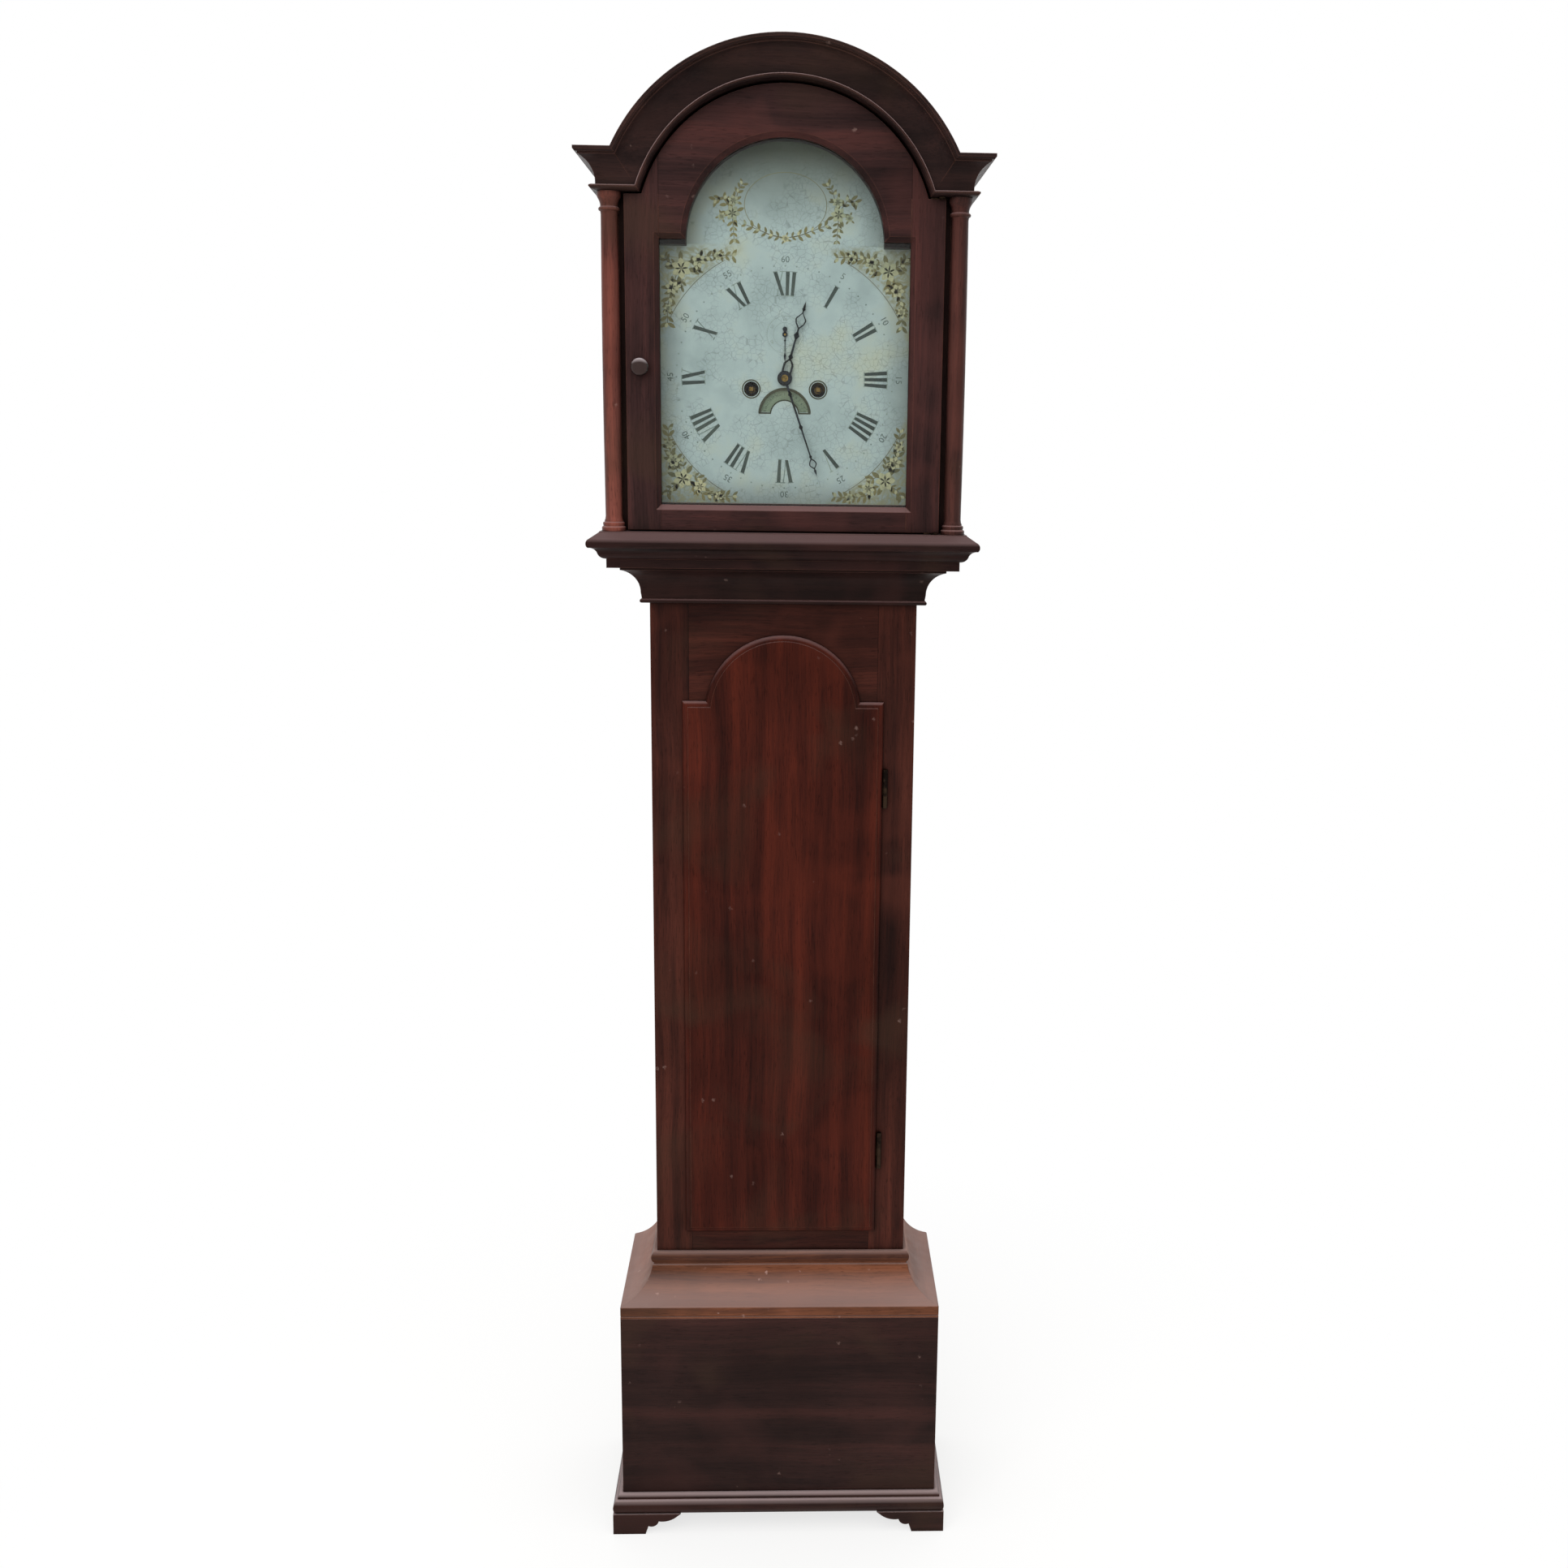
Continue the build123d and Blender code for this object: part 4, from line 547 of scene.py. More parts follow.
def paintwork(name, base, warm, grime, seed=0, cracks=0.35, edge_grime_and_shade=0.0):
    """Old oil paint: patches of warm and grey, age cracks, grime and painted shade towards the dial's edge.
    """
    material, tree = blank(name)
    place = put(tree, "ShaderNodeTexCoord").outputs["Object"]
    moved = put(
        tree, "ShaderNodeMapping", {"Vector": place, "Location": (seed, 0, -dial_centre.y)}
    ).outputs[0]
    cloud = put(
        tree, "ShaderNodeTexNoise", {"Vector": moved, "Scale": 13.0, "Detail": 4.0, "Roughness": 0.6}
    ).outputs["Fac"]
    shades = ((0.34, paint(grime)), (0.50, paint(base)), (0.72, paint(warm)))
    colour = put(tree, "ShaderNodeValToRGB", {0: cloud}, stops=shades).outputs[0]
    # Cracks 6 mm apart, each a tenth of a millimetre wide but drawn wider to show
    cell = put(
        tree, "ShaderNodeTexVoronoi", {"Vector": moved, "Scale": 160.0}, feature="DISTANCE_TO_EDGE"
    ).outputs["Distance"]
    crack = put(tree, "ShaderNodeMapRange", {0: cell, 1: 0.0, 2: 0.05, 3: 1.0 - cracks, 4: 1.0}).outputs[0]
    where = put(tree, "ShaderNodeTexNoise", {"Vector": moved, "Scale": 22.0, "Detail": 2.0}).outputs["Fac"]
    where = put(tree, "ShaderNodeMapRange", {0: where, 1: 0.45, 2: 0.62, 3: 1.0, 4: 0.0}).outputs[0]
    crack = put(tree, "ShaderNodeMath", {0: crack, 1: where}, operation="MAXIMUM").outputs[0]
    colour = put(tree, "ShaderNodeVectorMath", {0: colour, "Scale": crack}, operation="SCALE").outputs[0]
    if edge_grime_and_shade:
        # Smoke, grime and painted shade lie along the dial's edge, and the painted shade is darkest at the
        # arch's top
        axes = put(tree, "ShaderNodeSeparateXYZ", {0: moved}).outputs
        wide = put(tree, "ShaderNodeMath", {0: axes[0]}, operation="ABSOLUTE").outputs[0]
        high = put(tree, "ShaderNodeMath", {0: axes[2], 1: -1.0}, operation="MULTIPLY").outputs[0]
        over = put(
            tree, "ShaderNodeVectorMath", {0: moved, 1: (seed, 0, arch_middle)}, operation="SUBTRACT"
        ).outputs[0]
        over = put(tree, "ShaderNodeVectorMath", {0: over, 1: (1, 0, 1)}, operation="MULTIPLY").outputs[0]
        arch = put(tree, "ShaderNodeVectorMath", {0: over}, operation="LENGTH").outputs["Value"]
        arch = put(tree, "ShaderNodeMath", {0: arch, 1: arch_step}, operation="ADD").outputs[0]
        low = put(tree, "ShaderNodeMath", {0: axes[2], 1: arch_middle}, operation="LESS_THAN").outputs[0]
        side = put(tree, "ShaderNodeMath", {0: wide, 1: high}, operation="MAXIMUM").outputs[0]
        rim = put(tree, "ShaderNodeMix", {0: low, 2: arch, 3: side}).outputs[0]
        rim = put(
            tree, "ShaderNodeMapRange", {0: rim, 1: 0.118, 2: 0.154, 3: 0.0, 4: edge_grime_and_shade}
        ).outputs[0]
        # Painted shade at the arch's top, where the cornice overhangs the dial
        top = put(tree, "ShaderNodeMapRange", {0: axes[2], 1: 0.17, 2: 0.262, 3: 0.0, 4: 0.98}).outputs[0]
        rim = put(tree, "ShaderNodeMath", {0: rim, 1: top}, operation="MAXIMUM").outputs[0]
        # Worn gilding lies over the four corners, outside the circle of the numerals
        flat_place = put(
            tree, "ShaderNodeVectorMath", {0: moved, 1: (1, 0, 1)}, operation="MULTIPLY"
        ).outputs[0]
        away = put(tree, "ShaderNodeVectorMath", {0: flat_place}, operation="LENGTH").outputs["Value"]
        away = put(tree, "ShaderNodeMapRange", {0: away, 1: 0.151, 2: 0.158, 3: 0.0, 4: 1.0}).outputs[0]
        scrolls = put(
            tree, "ShaderNodeTexNoise", {"Vector": moved, "Scale": 75.0, "Detail": 2.0, "Distortion": 2.5}
        ).outputs["Fac"]
        scrolls = put(
            tree, "ShaderNodeMapRange", {0: scrolls, 1: 0.42, 2: 0.58, 3: 0.15, 4: 0.75}
        ).outputs[0]
        under = put(tree, "ShaderNodeMapRange", {0: axes[2], 1: 0.148, 2: 0.156, 3: 1.0, 4: 0.0}).outputs[0]
        outer = put(tree, "ShaderNodeMapRange", {0: wide, 1: 0.045, 2: 0.066}).outputs[0]
        gold = away
        for share in (scrolls, under, outer):
            gold = put(tree, "ShaderNodeMath", {0: gold, 1: share}, operation="MULTIPLY").outputs[0]
        # The dark tint is grime and painted shade; the pale gold is the worn gilding
        for share, tint in ((rim, "#4a4d42"), (gold, "#8d8765")):
            layer = {0: share, 6: colour, 7: paint(tint)}
            colour = put(tree, "ShaderNodeMix", layer, data_type="RGBA").outputs[2]
    relief = put(tree, "ShaderNodeMath", {0: crack, 1: 0.7, 2: cloud}, operation="MULTIPLY_ADD").outputs[0]
    normal = put(tree, "ShaderNodeBump", {"Height": relief, "Strength": 0.3, "Distance": 0.0003}).outputs[0]
    gloss = put(tree, "ShaderNodeMapRange", {0: cloud, 1: 0.3, 2: 0.7, 3: 0.5, 4: 0.66}).outputs[0]
    coat = put(
        tree,
        "ShaderNodeBsdfPrincipled",
        {"Base Color": colour, "Roughness": gloss, "Normal": normal, "Specular IOR Level": 0.3},
    ).outputs[0]
    put(tree, "ShaderNodeOutputMaterial", {"Surface": coat})
    return material


finish(paintwork("blue-grey dial paint", "#aab5b8", "#b5b7a9", "#9ba7aa", edge_grime_and_shade=0.45), "dial")
# The date disc is painted darker than the dial, for grime and as painted shade behind the opening
finish(paintwork("date disc paint, grimy and darkened as painted shade", "#76826f", "#878b75", "#626e5c", seed=1), "date_disc")


def flat(name, shapes, front, thick, material, body):
    """Closed thin shapes facing the front, each a loop of (x, z) in millimetres from the dial's centre."""
    corners, faces = [], []
    for loop in shapes:
        area = sum(a[0] * b[1] - b[0] * a[1] for a, b in zip(loop, loop[1:] + loop[:1]))
        loop = loop if area > 0 else loop[::-1]
        first, count = len(corners), len(loop)
        for depth in (front, front + thick):
            corners += [(x / 1000, depth, dial_centre.y + z / 1000) for x, z in loop]
        faces.append(tuple(range(first, first + count)))
        faces.append(tuple(reversed(range(first + count, first + 2 * count))))
        for i in range(count):
            j = (i + 1) % count
            faces.append((first + i, first + count + i, first + count + j, first + j))
    return made(name, corners, faces, material, body, turned=False)


# Hour numerals: painted in black with a brush, thick strokes whole and thin ones nearly rubbed away
# by cleaning. They stand on a circle with their feet towards the centre.
outer_edge, inner_edge = 124.0, 97.0
thick, thin, serif = 4.1, 1.1, 1.0


def polar(points, angle, middle=110.0):
    """Points of a numeral, (across, radius), bent round the dial at a clock angle in degrees."""
    bent = []
    for across, radius in points:
        a = math.radians(angle) + across / middle
        bent.append((radius * math.sin(a), radius * math.cos(a)))
    return bent


def bar(x0, x1, r0, r1, wide):
    """A stroke from (x0, r0) to (x1, r1), wide across the numeral."""
    half = wide / 2
    return [(x0 - half, r0), (x0 + half, r0), (x1 + half, r1), (x1 - half, r1)]


letter_width = {"I": 7.0, "V": 12.5, "X": 12.5}
bold_strokes, faint_strokes = [], []
for hour, word in enumerate(("XII", "I", "II", "III", "IIII", "V", "VI", "VII", "VIII", "IX", "X", "XI")):
    across = -sum(letter_width[letter] for letter in word) / 2
    for letter in word:
        x = across + letter_width[letter] / 2
        across += letter_width[letter]
        lo, hi = inner_edge, outer_edge
        if letter == "I":
            bold = [bar(x, x, lo, hi, thick)]
            fine = [bar(x, x, lo - serif, lo, 6.4), bar(x, x, hi, hi + serif, 6.4)]
        elif letter == "V":
            bold = [bar(x + 0.6, x - 3.6, lo, hi, thick)]
            fine = [bar(x + 1.4, x + 4.4, lo, hi, thin), bar(x - 3.6, x - 3.6, hi, hi + serif, 6.0)]
            fine.append(bar(x + 4.4, x + 4.4, hi, hi + serif, 4.0))
        else:
            bold = [bar(x + 3.6, x - 3.6, lo, hi, thick)]
            fine = [bar(x - 4.0, x + 4.0, lo, hi, thin)]
            for at in (-3.8, 3.8):
                fine += [bar(x + at, x + at, lo - serif, lo, 5.0), bar(x + at, x + at, hi, hi + serif, 5.0)]
        bold_strokes += [polar(stroke, 30 * hour) for stroke in bold]
        faint_strokes += [polar(stroke, 30 * hour) for stroke in fine]
black = paintwork("lamp black numeral paint", "#3a4240", "#515852", "#2b3231", seed=2, cracks=0.2)
faded = paintwork("rubbed lamp black", "#7c8886", "#949d94", "#66726f", seed=3, cracks=0.2)
flat("hour-numerals", bold_strokes, dial_y - 0.00012, 0.00012, black, "case")
flat("hour-numeral-hairlines", faint_strokes, dial_y - 0.00010, 0.0001, faded, "case")


# Minute, seconds and date figures: fine brush work, almost worn off, round the chapter circle,
# round the seconds arbor and on the disc behind the date opening.
def figures(name, words, size, centre, radius, front, material, body, step, start=0.0):
    """Generic dial figures round a circle, as closed shapes a tenth of a millimetre thick."""
    corners, faces = [], []
    for i, word in enumerate(words):
        letters = bpy.data.curves.new(name, "FONT")
        letters.body = word
        letters.size = size
        letters.align_x = "CENTER"
        letters.align_y = "CENTER"
        letters.extrude = 0.04
        letters.resolution_u = 3
        drawn = bpy.data.objects.new(name, letters)
        bpy.context.scene.collection.objects.link(drawn)
        mesh = bpy.data.meshes.new_from_object(drawn)
        a = math.radians(start + step * i)
        first = len(corners)
        for vertex in mesh.vertices:
            x, r = vertex.co.x, vertex.co.y + radius
            px = centre[0] + x * math.cos(a) + r * math.sin(a)
            pz = centre[1] - x * math.sin(a) + r * math.cos(a)
            corners.append((px / 1000, front - (vertex.co.z + 0.04) / 1000, dial_centre.y + pz / 1000))
        faces += [tuple(first + k for k in face.vertices) for face in mesh.polygons]
        bpy.data.objects.remove(drawn)
        bpy.data.meshes.remove(mesh)
        bpy.data.curves.remove(letters)
    return made(name, corners, faces, material, body)


worn_black = paintwork("worn lamp black", "#56605e", "#757f78", "#434d4b", seed=4, cracks=0.3)
minute_words = [str(m) for m in [60] + list(range(5, 60, 5))]
figures("minute-figures", minute_words, 10.5, (0, 0), 138.0, dial_y, worn_black, "case", 30)
seconds_at = (0.0, 51.4)
seconds_words = [str(m) for m in range(10, 70, 10)]
figures("seconds-figures", seconds_words, 5.0, seconds_at, 17.5, dial_y, faded, "case", 60, 60)
date_at = (0.0, -43.0)
disc_y = -0.0474
date_words = [str(d) for d in range(1, 32)]
figures("date-figures", date_words, 4.2, date_at, 24.5, disc_y, black, "date_disc", 360 / 31)


# Minute dots: small dots of black paint round the numerals, one for each of the sixty minutes, set
# out with dividers. One rule places them on their circle.
dots = bpy.data.node_groups.new("minute dots", "GeometryNodeTree")
dots.interface.new_socket("Geometry", in_out="OUTPUT", socket_type="NodeSocketGeometry")
sizes = {"Circle radius": 0.1308, "Dot radius": 0.00095, "Dot height": 0.0001}
for name in sizes:
    dots.interface.new_socket(name, in_out="INPUT", socket_type="NodeSocketFloat")
given = put(dots, "NodeGroupInput").outputs
ring = put(dots, "GeometryNodeMeshCircle", {"Vertices": 60, "Radius": given["Circle radius"]}).outputs[0]
dot_sizes = {"Vertices": 12, "Radius": given["Dot radius"], "Depth": given["Dot height"]}
dot = put(dots, "GeometryNodeMeshCylinder", dot_sizes).outputs["Mesh"]
placed = put(dots, "GeometryNodeInstanceOnPoints", {"Points": ring, "Instance": dot}).outputs[0]
single = put(dots, "GeometryNodeRealizeInstances", {"Geometry": placed}).outputs[0]
coloured = put(dots, "GeometryNodeSetMaterial", {"Geometry": single, "Material": faded}).outputs[0]
put(dots, "NodeGroupOutput", {"Geometry": coloured})
seed_mesh = bpy.data.meshes.new("minute-dots")
seed_piece = bpy.data.objects.new("minute-dots-rule", seed_mesh)
bpy.context.scene.collection.objects.link(seed_piece)
rule = seed_piece.modifiers.new("dots", "NODES")
rule.node_group = dots
for item in dots.interface.items_tree:
    if item.item_type == "SOCKET" and item.in_out == "INPUT":
        rule[item.identifier] = sizes[item.name]
evaluated = seed_piece.evaluated_get(bpy.context.evaluated_depsgraph_get())
dot_mesh = bpy.data.meshes.new_from_object(evaluated)
bpy.data.objects.remove(seed_piece)
stand = Matrix.Translation((0, dial_y - 0.00004, dial_centre.y)) @ Matrix.Rotation(math.radians(90), 4, "X")
dot_mesh.transform(stand)
minute_dots = bpy.data.objects.new("minute-dots", dot_mesh)
bpy.context.scene.collection.objects.link(minute_dots)
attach(minute_dots, "case")


# Painted rings: two thin circles with sixty ticks round the seconds, the dark edge of the date
# opening, a painted line widened with painted shade, and the rims of the winding holes, where the
# key has rubbed the paint.
def band(radius, wide, centre, start=0.0, end=360.0, steps=72):
    """A curved stroke as short four-sided pieces, between two clock angles."""
    inner, outer = radius - wide / 2, radius + wide / 2
    pieces = []
    for i in range(steps):
        a, b = (math.radians(start + (end - start) * k / steps) for k in (i, i + 1))
        corners = ((inner, a), (outer, a), (outer, b), (inner, b))
        pieces.append([(centre[0] + r * math.sin(t), centre[1] + r * math.cos(t)) for r, t in corners])
    return pieces


rings = band(21.6, 0.35, seconds_at) + band(14.0, 0.3, seconds_at)
for i in range(60):
    a = math.radians(6 * i)
    tick = []
    for r, w in ((21.6, -0.15), (23.4, -0.15), (23.4, 0.15), (21.6, 0.15)):
        x, z = r * math.sin(a) + w * math.cos(a), r * math.cos(a) - w * math.sin(a)
        tick.append((seconds_at[0] + x, seconds_at[1] + z))
    rings.append(tick)
flat("seconds-rings", rings, dial_y - 0.00008, 0.00008, faded, "case")
# The date opening's dark edge is a painted line, made wide and closed at its ends as painted shade
mouth = band(30.4, 3.2, date_at, -86, 86) + band(17.2, 1.6, date_at, -84, 84)
low_end, high_end = date_at[1] + 0.8, date_at[1] + 2.6
for side in (-1, 1):
    sill = ((16.6, low_end), (31.5, low_end), (31.5, high_end), (16.6, high_end))
    mouth.append([(side * x, z) for x, z in sill])
umber = paintwork("umber line paint", "#3c3a2c", "#57523c", "#2c2b22", seed=5, cracks=0.15)
flat("date-opening-line-and-shade", mouth, dial_y - 0.00012, 0.00012, umber, "case")
worn = band(10.6, 1.6, (-40.5, -13.0)) + band(10.6, 1.6, (40.5, -13.0))
flat("winding-hole-rims", worn, dial_y - 0.00012, 0.00012, umber, "case")


# Painted ornament: gilt leaves, cream flowers and brown stems in the four corners and round an
# oval in the arch, as such dials commonly carry. Worn thin, it sits a tenth of a millimetre proud.
draw = random.Random(7)


def leaf(x, z, angle, long, wide, steps=5):
    """A pointed leaf from its foot at (x, z), growing at an angle in degrees from +X."""
    a = math.radians(angle)
    side = [(long * t / steps, wide / 2 * math.sin(math.pi * t / steps) ** 0.8) for t in range(steps + 1)]
    loop = side + [(u, -v) for u, v in side[-2:0:-1]]
    return [(x + u * math.cos(a) - v * math.sin(a), z + u * math.sin(a) + v * math.cos(a)) for u, v in loop]


def stem(points, wide):
    """A brush line through points, as one tapered four-sided piece for each run."""
    pieces = []
    for i, (p, q) in enumerate(zip(points, points[1:])):
        run = Vector((q[0] - p[0], q[1] - p[1]))
        across = Vector((-run.y, run.x)).normalized() * wide / 2
        end = across * (0.6 if i == len(points) - 2 else 1)
        pieces.append(
            [
                (p[0] - across.x, p[1] - across.y),
                (q[0] - end.x, q[1] - end.y),
                (q[0] + end.x, q[1] + end.y),
                (p[0] + across.x, p[1] + across.y),
            ]
        )
    return pieces


gilt, cream, brown = [], [], []


def flower(x, z, size, petals=6):
    """A rosette of petals with a brown eye and a few leaves under it."""
    turned = draw.uniform(0, 60)
    for i in range(petals):
        cream.append(leaf(x, z, turned + 360 * i / petals, size, size * 0.62))
    for i in range(4):
        a = turned + 45 + 90 * i + draw.uniform(-15, 15)
        foot_x = x + 0.6 * size * math.cos(math.radians(a))
        foot_z = z + 0.6 * size * math.sin(math.radians(a))
        gilt.append(leaf(foot_x, foot_z, a, size, size * 0.45))
    middle = size * 0.22
    brown.append([(x + middle * math.cos(1.05 * k), z + middle * math.sin(1.05 * k)) for k in range(6)])


def spray(path, leaves, size):
    """A stem along points with leaves in pairs and small buds."""
    brown.extend(stem(path, 0.8))
    for i in range(leaves):
        t = (i + 0.6) / leaves * (len(path) - 1)
        k = min(int(t), len(path) - 2)
        p, q = path[k], path[k + 1]
        x, z = p[0] + (q[0] - p[0]) * (t - k), p[1] + (q[1] - p[1]) * (t - k)
        heading = math.degrees(math.atan2(q[1] - p[1], q[0] - p[0]))
        long = size * draw.uniform(0.75, 1.15)
        for turn_side in (-1, 1):
            gilt.append(leaf(x, z, heading + turn_side * draw.uniform(35, 60), long, long * 0.42))
        if i % 2:
            cream.append(leaf(x, z, heading + draw.uniform(-80, 80), size * 0.62, size * 0.4))


for sx in (-1, 1):
    for sz in (-1, 1):
        cx, cz = sx * 124, sz * (126 if sz > 0 else 121)
        flower(cx, cz, 12.5)
        flower(cx - sx * 21, cz + sz * 9, 8.5)
        flower(cx + sx * 11, cz - sz * 22, 8.5)
        flower(sx * 80, sz * 141, 5.5)
        flower(sx * 140, sz * 80, 5.5)
        level = [(cx - sx * 8, cz + sz * 6), (sx * 100, sz * 139), (sx * 82, sz * 142), (sx * 60, sz * 141)]
        plumb = [(cx + sx * 6, cz - sz * 8), (sx * 137, sz * 98), (sx * 141, sz * 80), (sx * 141, sz * 60)]
        spray(level, 8, 10)
        spray(plumb, 8, 10)
        spray([(cx + sx * 4, cz + sz * 4), (sx * 140, sz * 133), (sx * 144, sz * 140)], 4, 9)
        spray([(cx - sx * 12, cz - sz * 4), (cx - sx * 20, cz - sz * 1)], 2, 8)
        spray([(cx - sx * 2, cz - sz * 12), (cx + sx * 1, cz - sz * 22)], 2, 8)
        ends = (28, 64) if sz > 0 else (116, 152)
        brown.extend(band(154, 0.6, (0, 0), sx * ends[0], sx * ends[1], 24))
    flower(sx * 63, 190, 9.5)
    flower(sx * 62, 204, 7)
    flower(sx * 76, 186, 5)
    spray([(sx * 63, 184), (sx * 62, 172), (sx * 61, 158)], 4, 8)
    spray([(sx * 66, 196), (sx * 75, 208), (sx * 84, 204)], 4, 9)
    spray([(sx * 60, 200), (sx * 56, 216), (sx * 50, 224)], 4, 8)
    spray([(sx * 3, 163), (sx * 18, 166), (sx * 34, 172), (sx * 50, 178)], 6, 8)
oval = []
for i in range(60):
    a, b = (2 * math.pi * k / 60 for k in (i, i + 1))
    run = ((0.99, a), (1.005, a), (1.005, b), (0.99, b))
    oval.append([(s * math.sin(t) * 49, 200 + s * math.cos(t) * 37) for s, t in run])
flower(0, 162, 5)
gilding = paintwork("worn gilding over size", "#6f6848", "#857a50", "#58573f", seed=6, cracks=0.3)
petals = paintwork("cream flower paint", "#aca98a", "#bdb592", "#93967e", seed=8, cracks=0.3)
sepia = paintwork("brown stem paint", "#584e37", "#6c6146", "#474232", seed=9, cracks=0.3)
flat("dial-stems", brown, dial_y - 0.00016, 0.00016, sepia, "case")
flat("dial-oval", oval, dial_y - 0.00008, 0.00008, gilding, "case")
flat("dial-leaves", gilt, dial_y - 0.00020, 0.0002, gilding, "case")
flat("dial-flowers", cream, dial_y - 0.00026, 0.00026, petals, "case")


# Metals. Brass is cast, filed and scraped, and has gone brown. Steel is filed bright or blued by
# heat, and the weights are rough cast iron. Each shows fine scratches and a patchy tarnish.
def metal(name, bright_colour, dull_colour, rough=0.32, metallic=1.0, scratch=900.0, lump=0.0, tarnish=0.5):
    """Filed or cast metal with scratches and patches of tarnish."""
    material, tree = blank(name)
    place = put(tree, "ShaderNodeTexCoord").outputs["Object"]
    cloud = put(
        tree, "ShaderNodeTexNoise", {"Vector": place, "Scale": 70.0, "Detail": 4.0, "Roughness": 0.65}
    ).outputs["Fac"]
    cover = put(
        tree, "ShaderNodeMapRange", {0: cloud, 1: 0.62 - 0.3 * tarnish, 2: 0.78 - 0.3 * tarnish}
    ).outputs[0]
    colour = put(
        tree, "ShaderNodeMix", {0: cover, 6: paint(bright_colour), 7: paint(dull_colour)}, data_type="RGBA"
    ).outputs[2]
    # File marks, finer than a millimetre but drawn 1 mm apart to show, and the lumps of a cast skin
    filed = put(tree, "ShaderNodeMapping", {"Vector": place, "Scale": (0.06, 1, 1)}).outputs[0]
    marks = put(
        tree, "ShaderNodeTexNoise", {"Vector": filed, "Scale": scratch, "Detail": 2.0}
    ).outputs["Fac"]
    gloss = put(tree, "ShaderNodeMapRange", {0: cover, 3: rough, 4: rough + 0.22}).outputs[0]
    soft = put(tree, "ShaderNodeBevel", {"Radius": 0.0004}, samples=4).outputs[0]
    if lump:
        grains = put(
            tree, "ShaderNodeTexNoise", {"Vector": place, "Scale": 420.0, "Detail": 3.0}
        ).outputs["Fac"]
        marks = put(
            tree, "ShaderNodeMath", {0: grains, 1: lump, 2: marks}, operation="MULTIPLY_ADD"
        ).outputs[0]
    normal = put(
        tree, "ShaderNodeBump", {"Height": marks, "Normal": soft, "Strength": 0.25, "Distance": 0.0003}
    ).outputs[0]
    surface = put(
        tree,
        "ShaderNodeBsdfPrincipled",
        {"Base Color": colour, "Metallic": metallic, "Roughness": gloss, "Normal": normal},
    ).outputs[0]
    put(tree, "ShaderNodeOutputMaterial", {"Surface": surface})
    return material


brass = metal("scraped brass", "#b08d4c", "#6f5a36", 0.3)
# The front plate is darker than the other brass, for tarnish and as painted shade seen through the winding
# holes
plate_brass = metal("tarnished and shaded plate brass", "#5c4a2c", "#2e2619", 0.4, tarnish=0.8)
dark_brass = metal("darkened hinge brass", "#382b21", "#1c1613", 0.45)
steel = metal("filed steel", "#8d8c8a", "#57524c", 0.34)
iron = metal("cast iron", "#4b4643", "#3a2c25", 0.55, 0.85, lump=4.0)
bell_metal = metal("turned bell metal", "#a99668", "#6d6247", 0.3)
blued = metal("heat-blued steel", "#23262f", "#1b1917", 0.34, 0.6, tarnish=0.6)
winding_brass = metal("handled winding brass", "#8d7040", "#51402a", 0.36, tarnish=0.5)
finish(plate_brass, "front_plate")
finish(winding_brass, "going_barrel", "strike_barrel")
finish(brass, "back_plate", "plate_pillars", "back_cock", "pendulum_bob", "rating_nut")
finish(brass, "going_great_wheel", "centre_wheel", "third_wheel", "escape_wheel", "cannon_wheel")
finish(brass, "minute_wheel", "hour_wheel", "going_pulley", "strike_pulley")
finish(dark_brass, "trunk_hinge_leaves", "trunk_door_knuckles", "hood_door_straps", "hood_door_pins")
finish(steel, "seat_bolts", "anchor", "pendulum_rod", "motion_studs", "bell_stand", "hammer")
finish(iron, "going_weight", "strike_weight")
finish(bell_metal, "bell")


# Hands: sawn and filed from steel sheet and blued. Each has a pierced boss, a slim stem with a
# knop, an open lozenge near its end and a spear tip.
def turned_out(loops, centre, clockwise):
    """Loops drawn pointing up, turned to a clock angle about a centre."""
    ahead, aside = math.cos(math.radians(clockwise)), math.sin(math.radians(clockwise))
    return [
        [(centre[0] + x * ahead + z * aside, centre[1] - x * aside + z * ahead) for x, z in loop]
        for loop in loops
    ]


def pointer(length, boss, bore, wide, knops, loops=(), crossed=None):
    """Loops of a hand that points up: ring boss, stem, knops, open lozenges and a spear tip.

    A knop is (height, size), a lozenge (height, half its length, half its width), and crossed is
    (height, half width) of the two arms that leave the boss and meet in the stem.
    """
    drawn = band((boss + bore) / 2, boss - bore, (0, 0), steps=36)
    gaps = sorted((at - tall, at + tall) for at, tall, _ in loops)
    start = boss - 0.6
    for low, high in gaps + [(length * 0.9, length)]:
        if crossed and start < crossed[0]:
            mid, swing = crossed
            for side in (-1, 1):
                path = [(side * boss * 0.55, boss * 0.7), (side * swing, mid * 0.72), (0, mid)]
                drawn += stem(path, wide * 0.8)
            start = mid - 0.5
        foot, head = (wide * (1 - 0.55 * at / length) / 2 for at in (start, low))
        drawn.append([(-foot, start), (foot, start), (head, low + 0.8), (-head, low + 0.8)])
        start = high - 0.8
    for at, tall, half in loops:
        for side in (-1, 1):
            path = [(0, at - tall), (side * half * 0.8, at - tall * 0.35)]
            path += [(side * half, at + tall * 0.15), (0, at + tall)]
            drawn += stem(path, wide * 0.5)
    for at, size in knops:
        right = [(size * 0.45, at - size), (size, at), (size * 0.45, at + size)]
        left = [(-x, z) for x, z in reversed(right)]
        drawn.append([(0, at - 1.7 * size)] + right + [(0, at + 1.7 * size)] + left)
    spear = ((0, 0), (-1.5, 7), (-0.6, 10), (0.6, 10), (1.5, 7))
    drawn.append([(x, length - z) for x, z in spear])
    return drawn


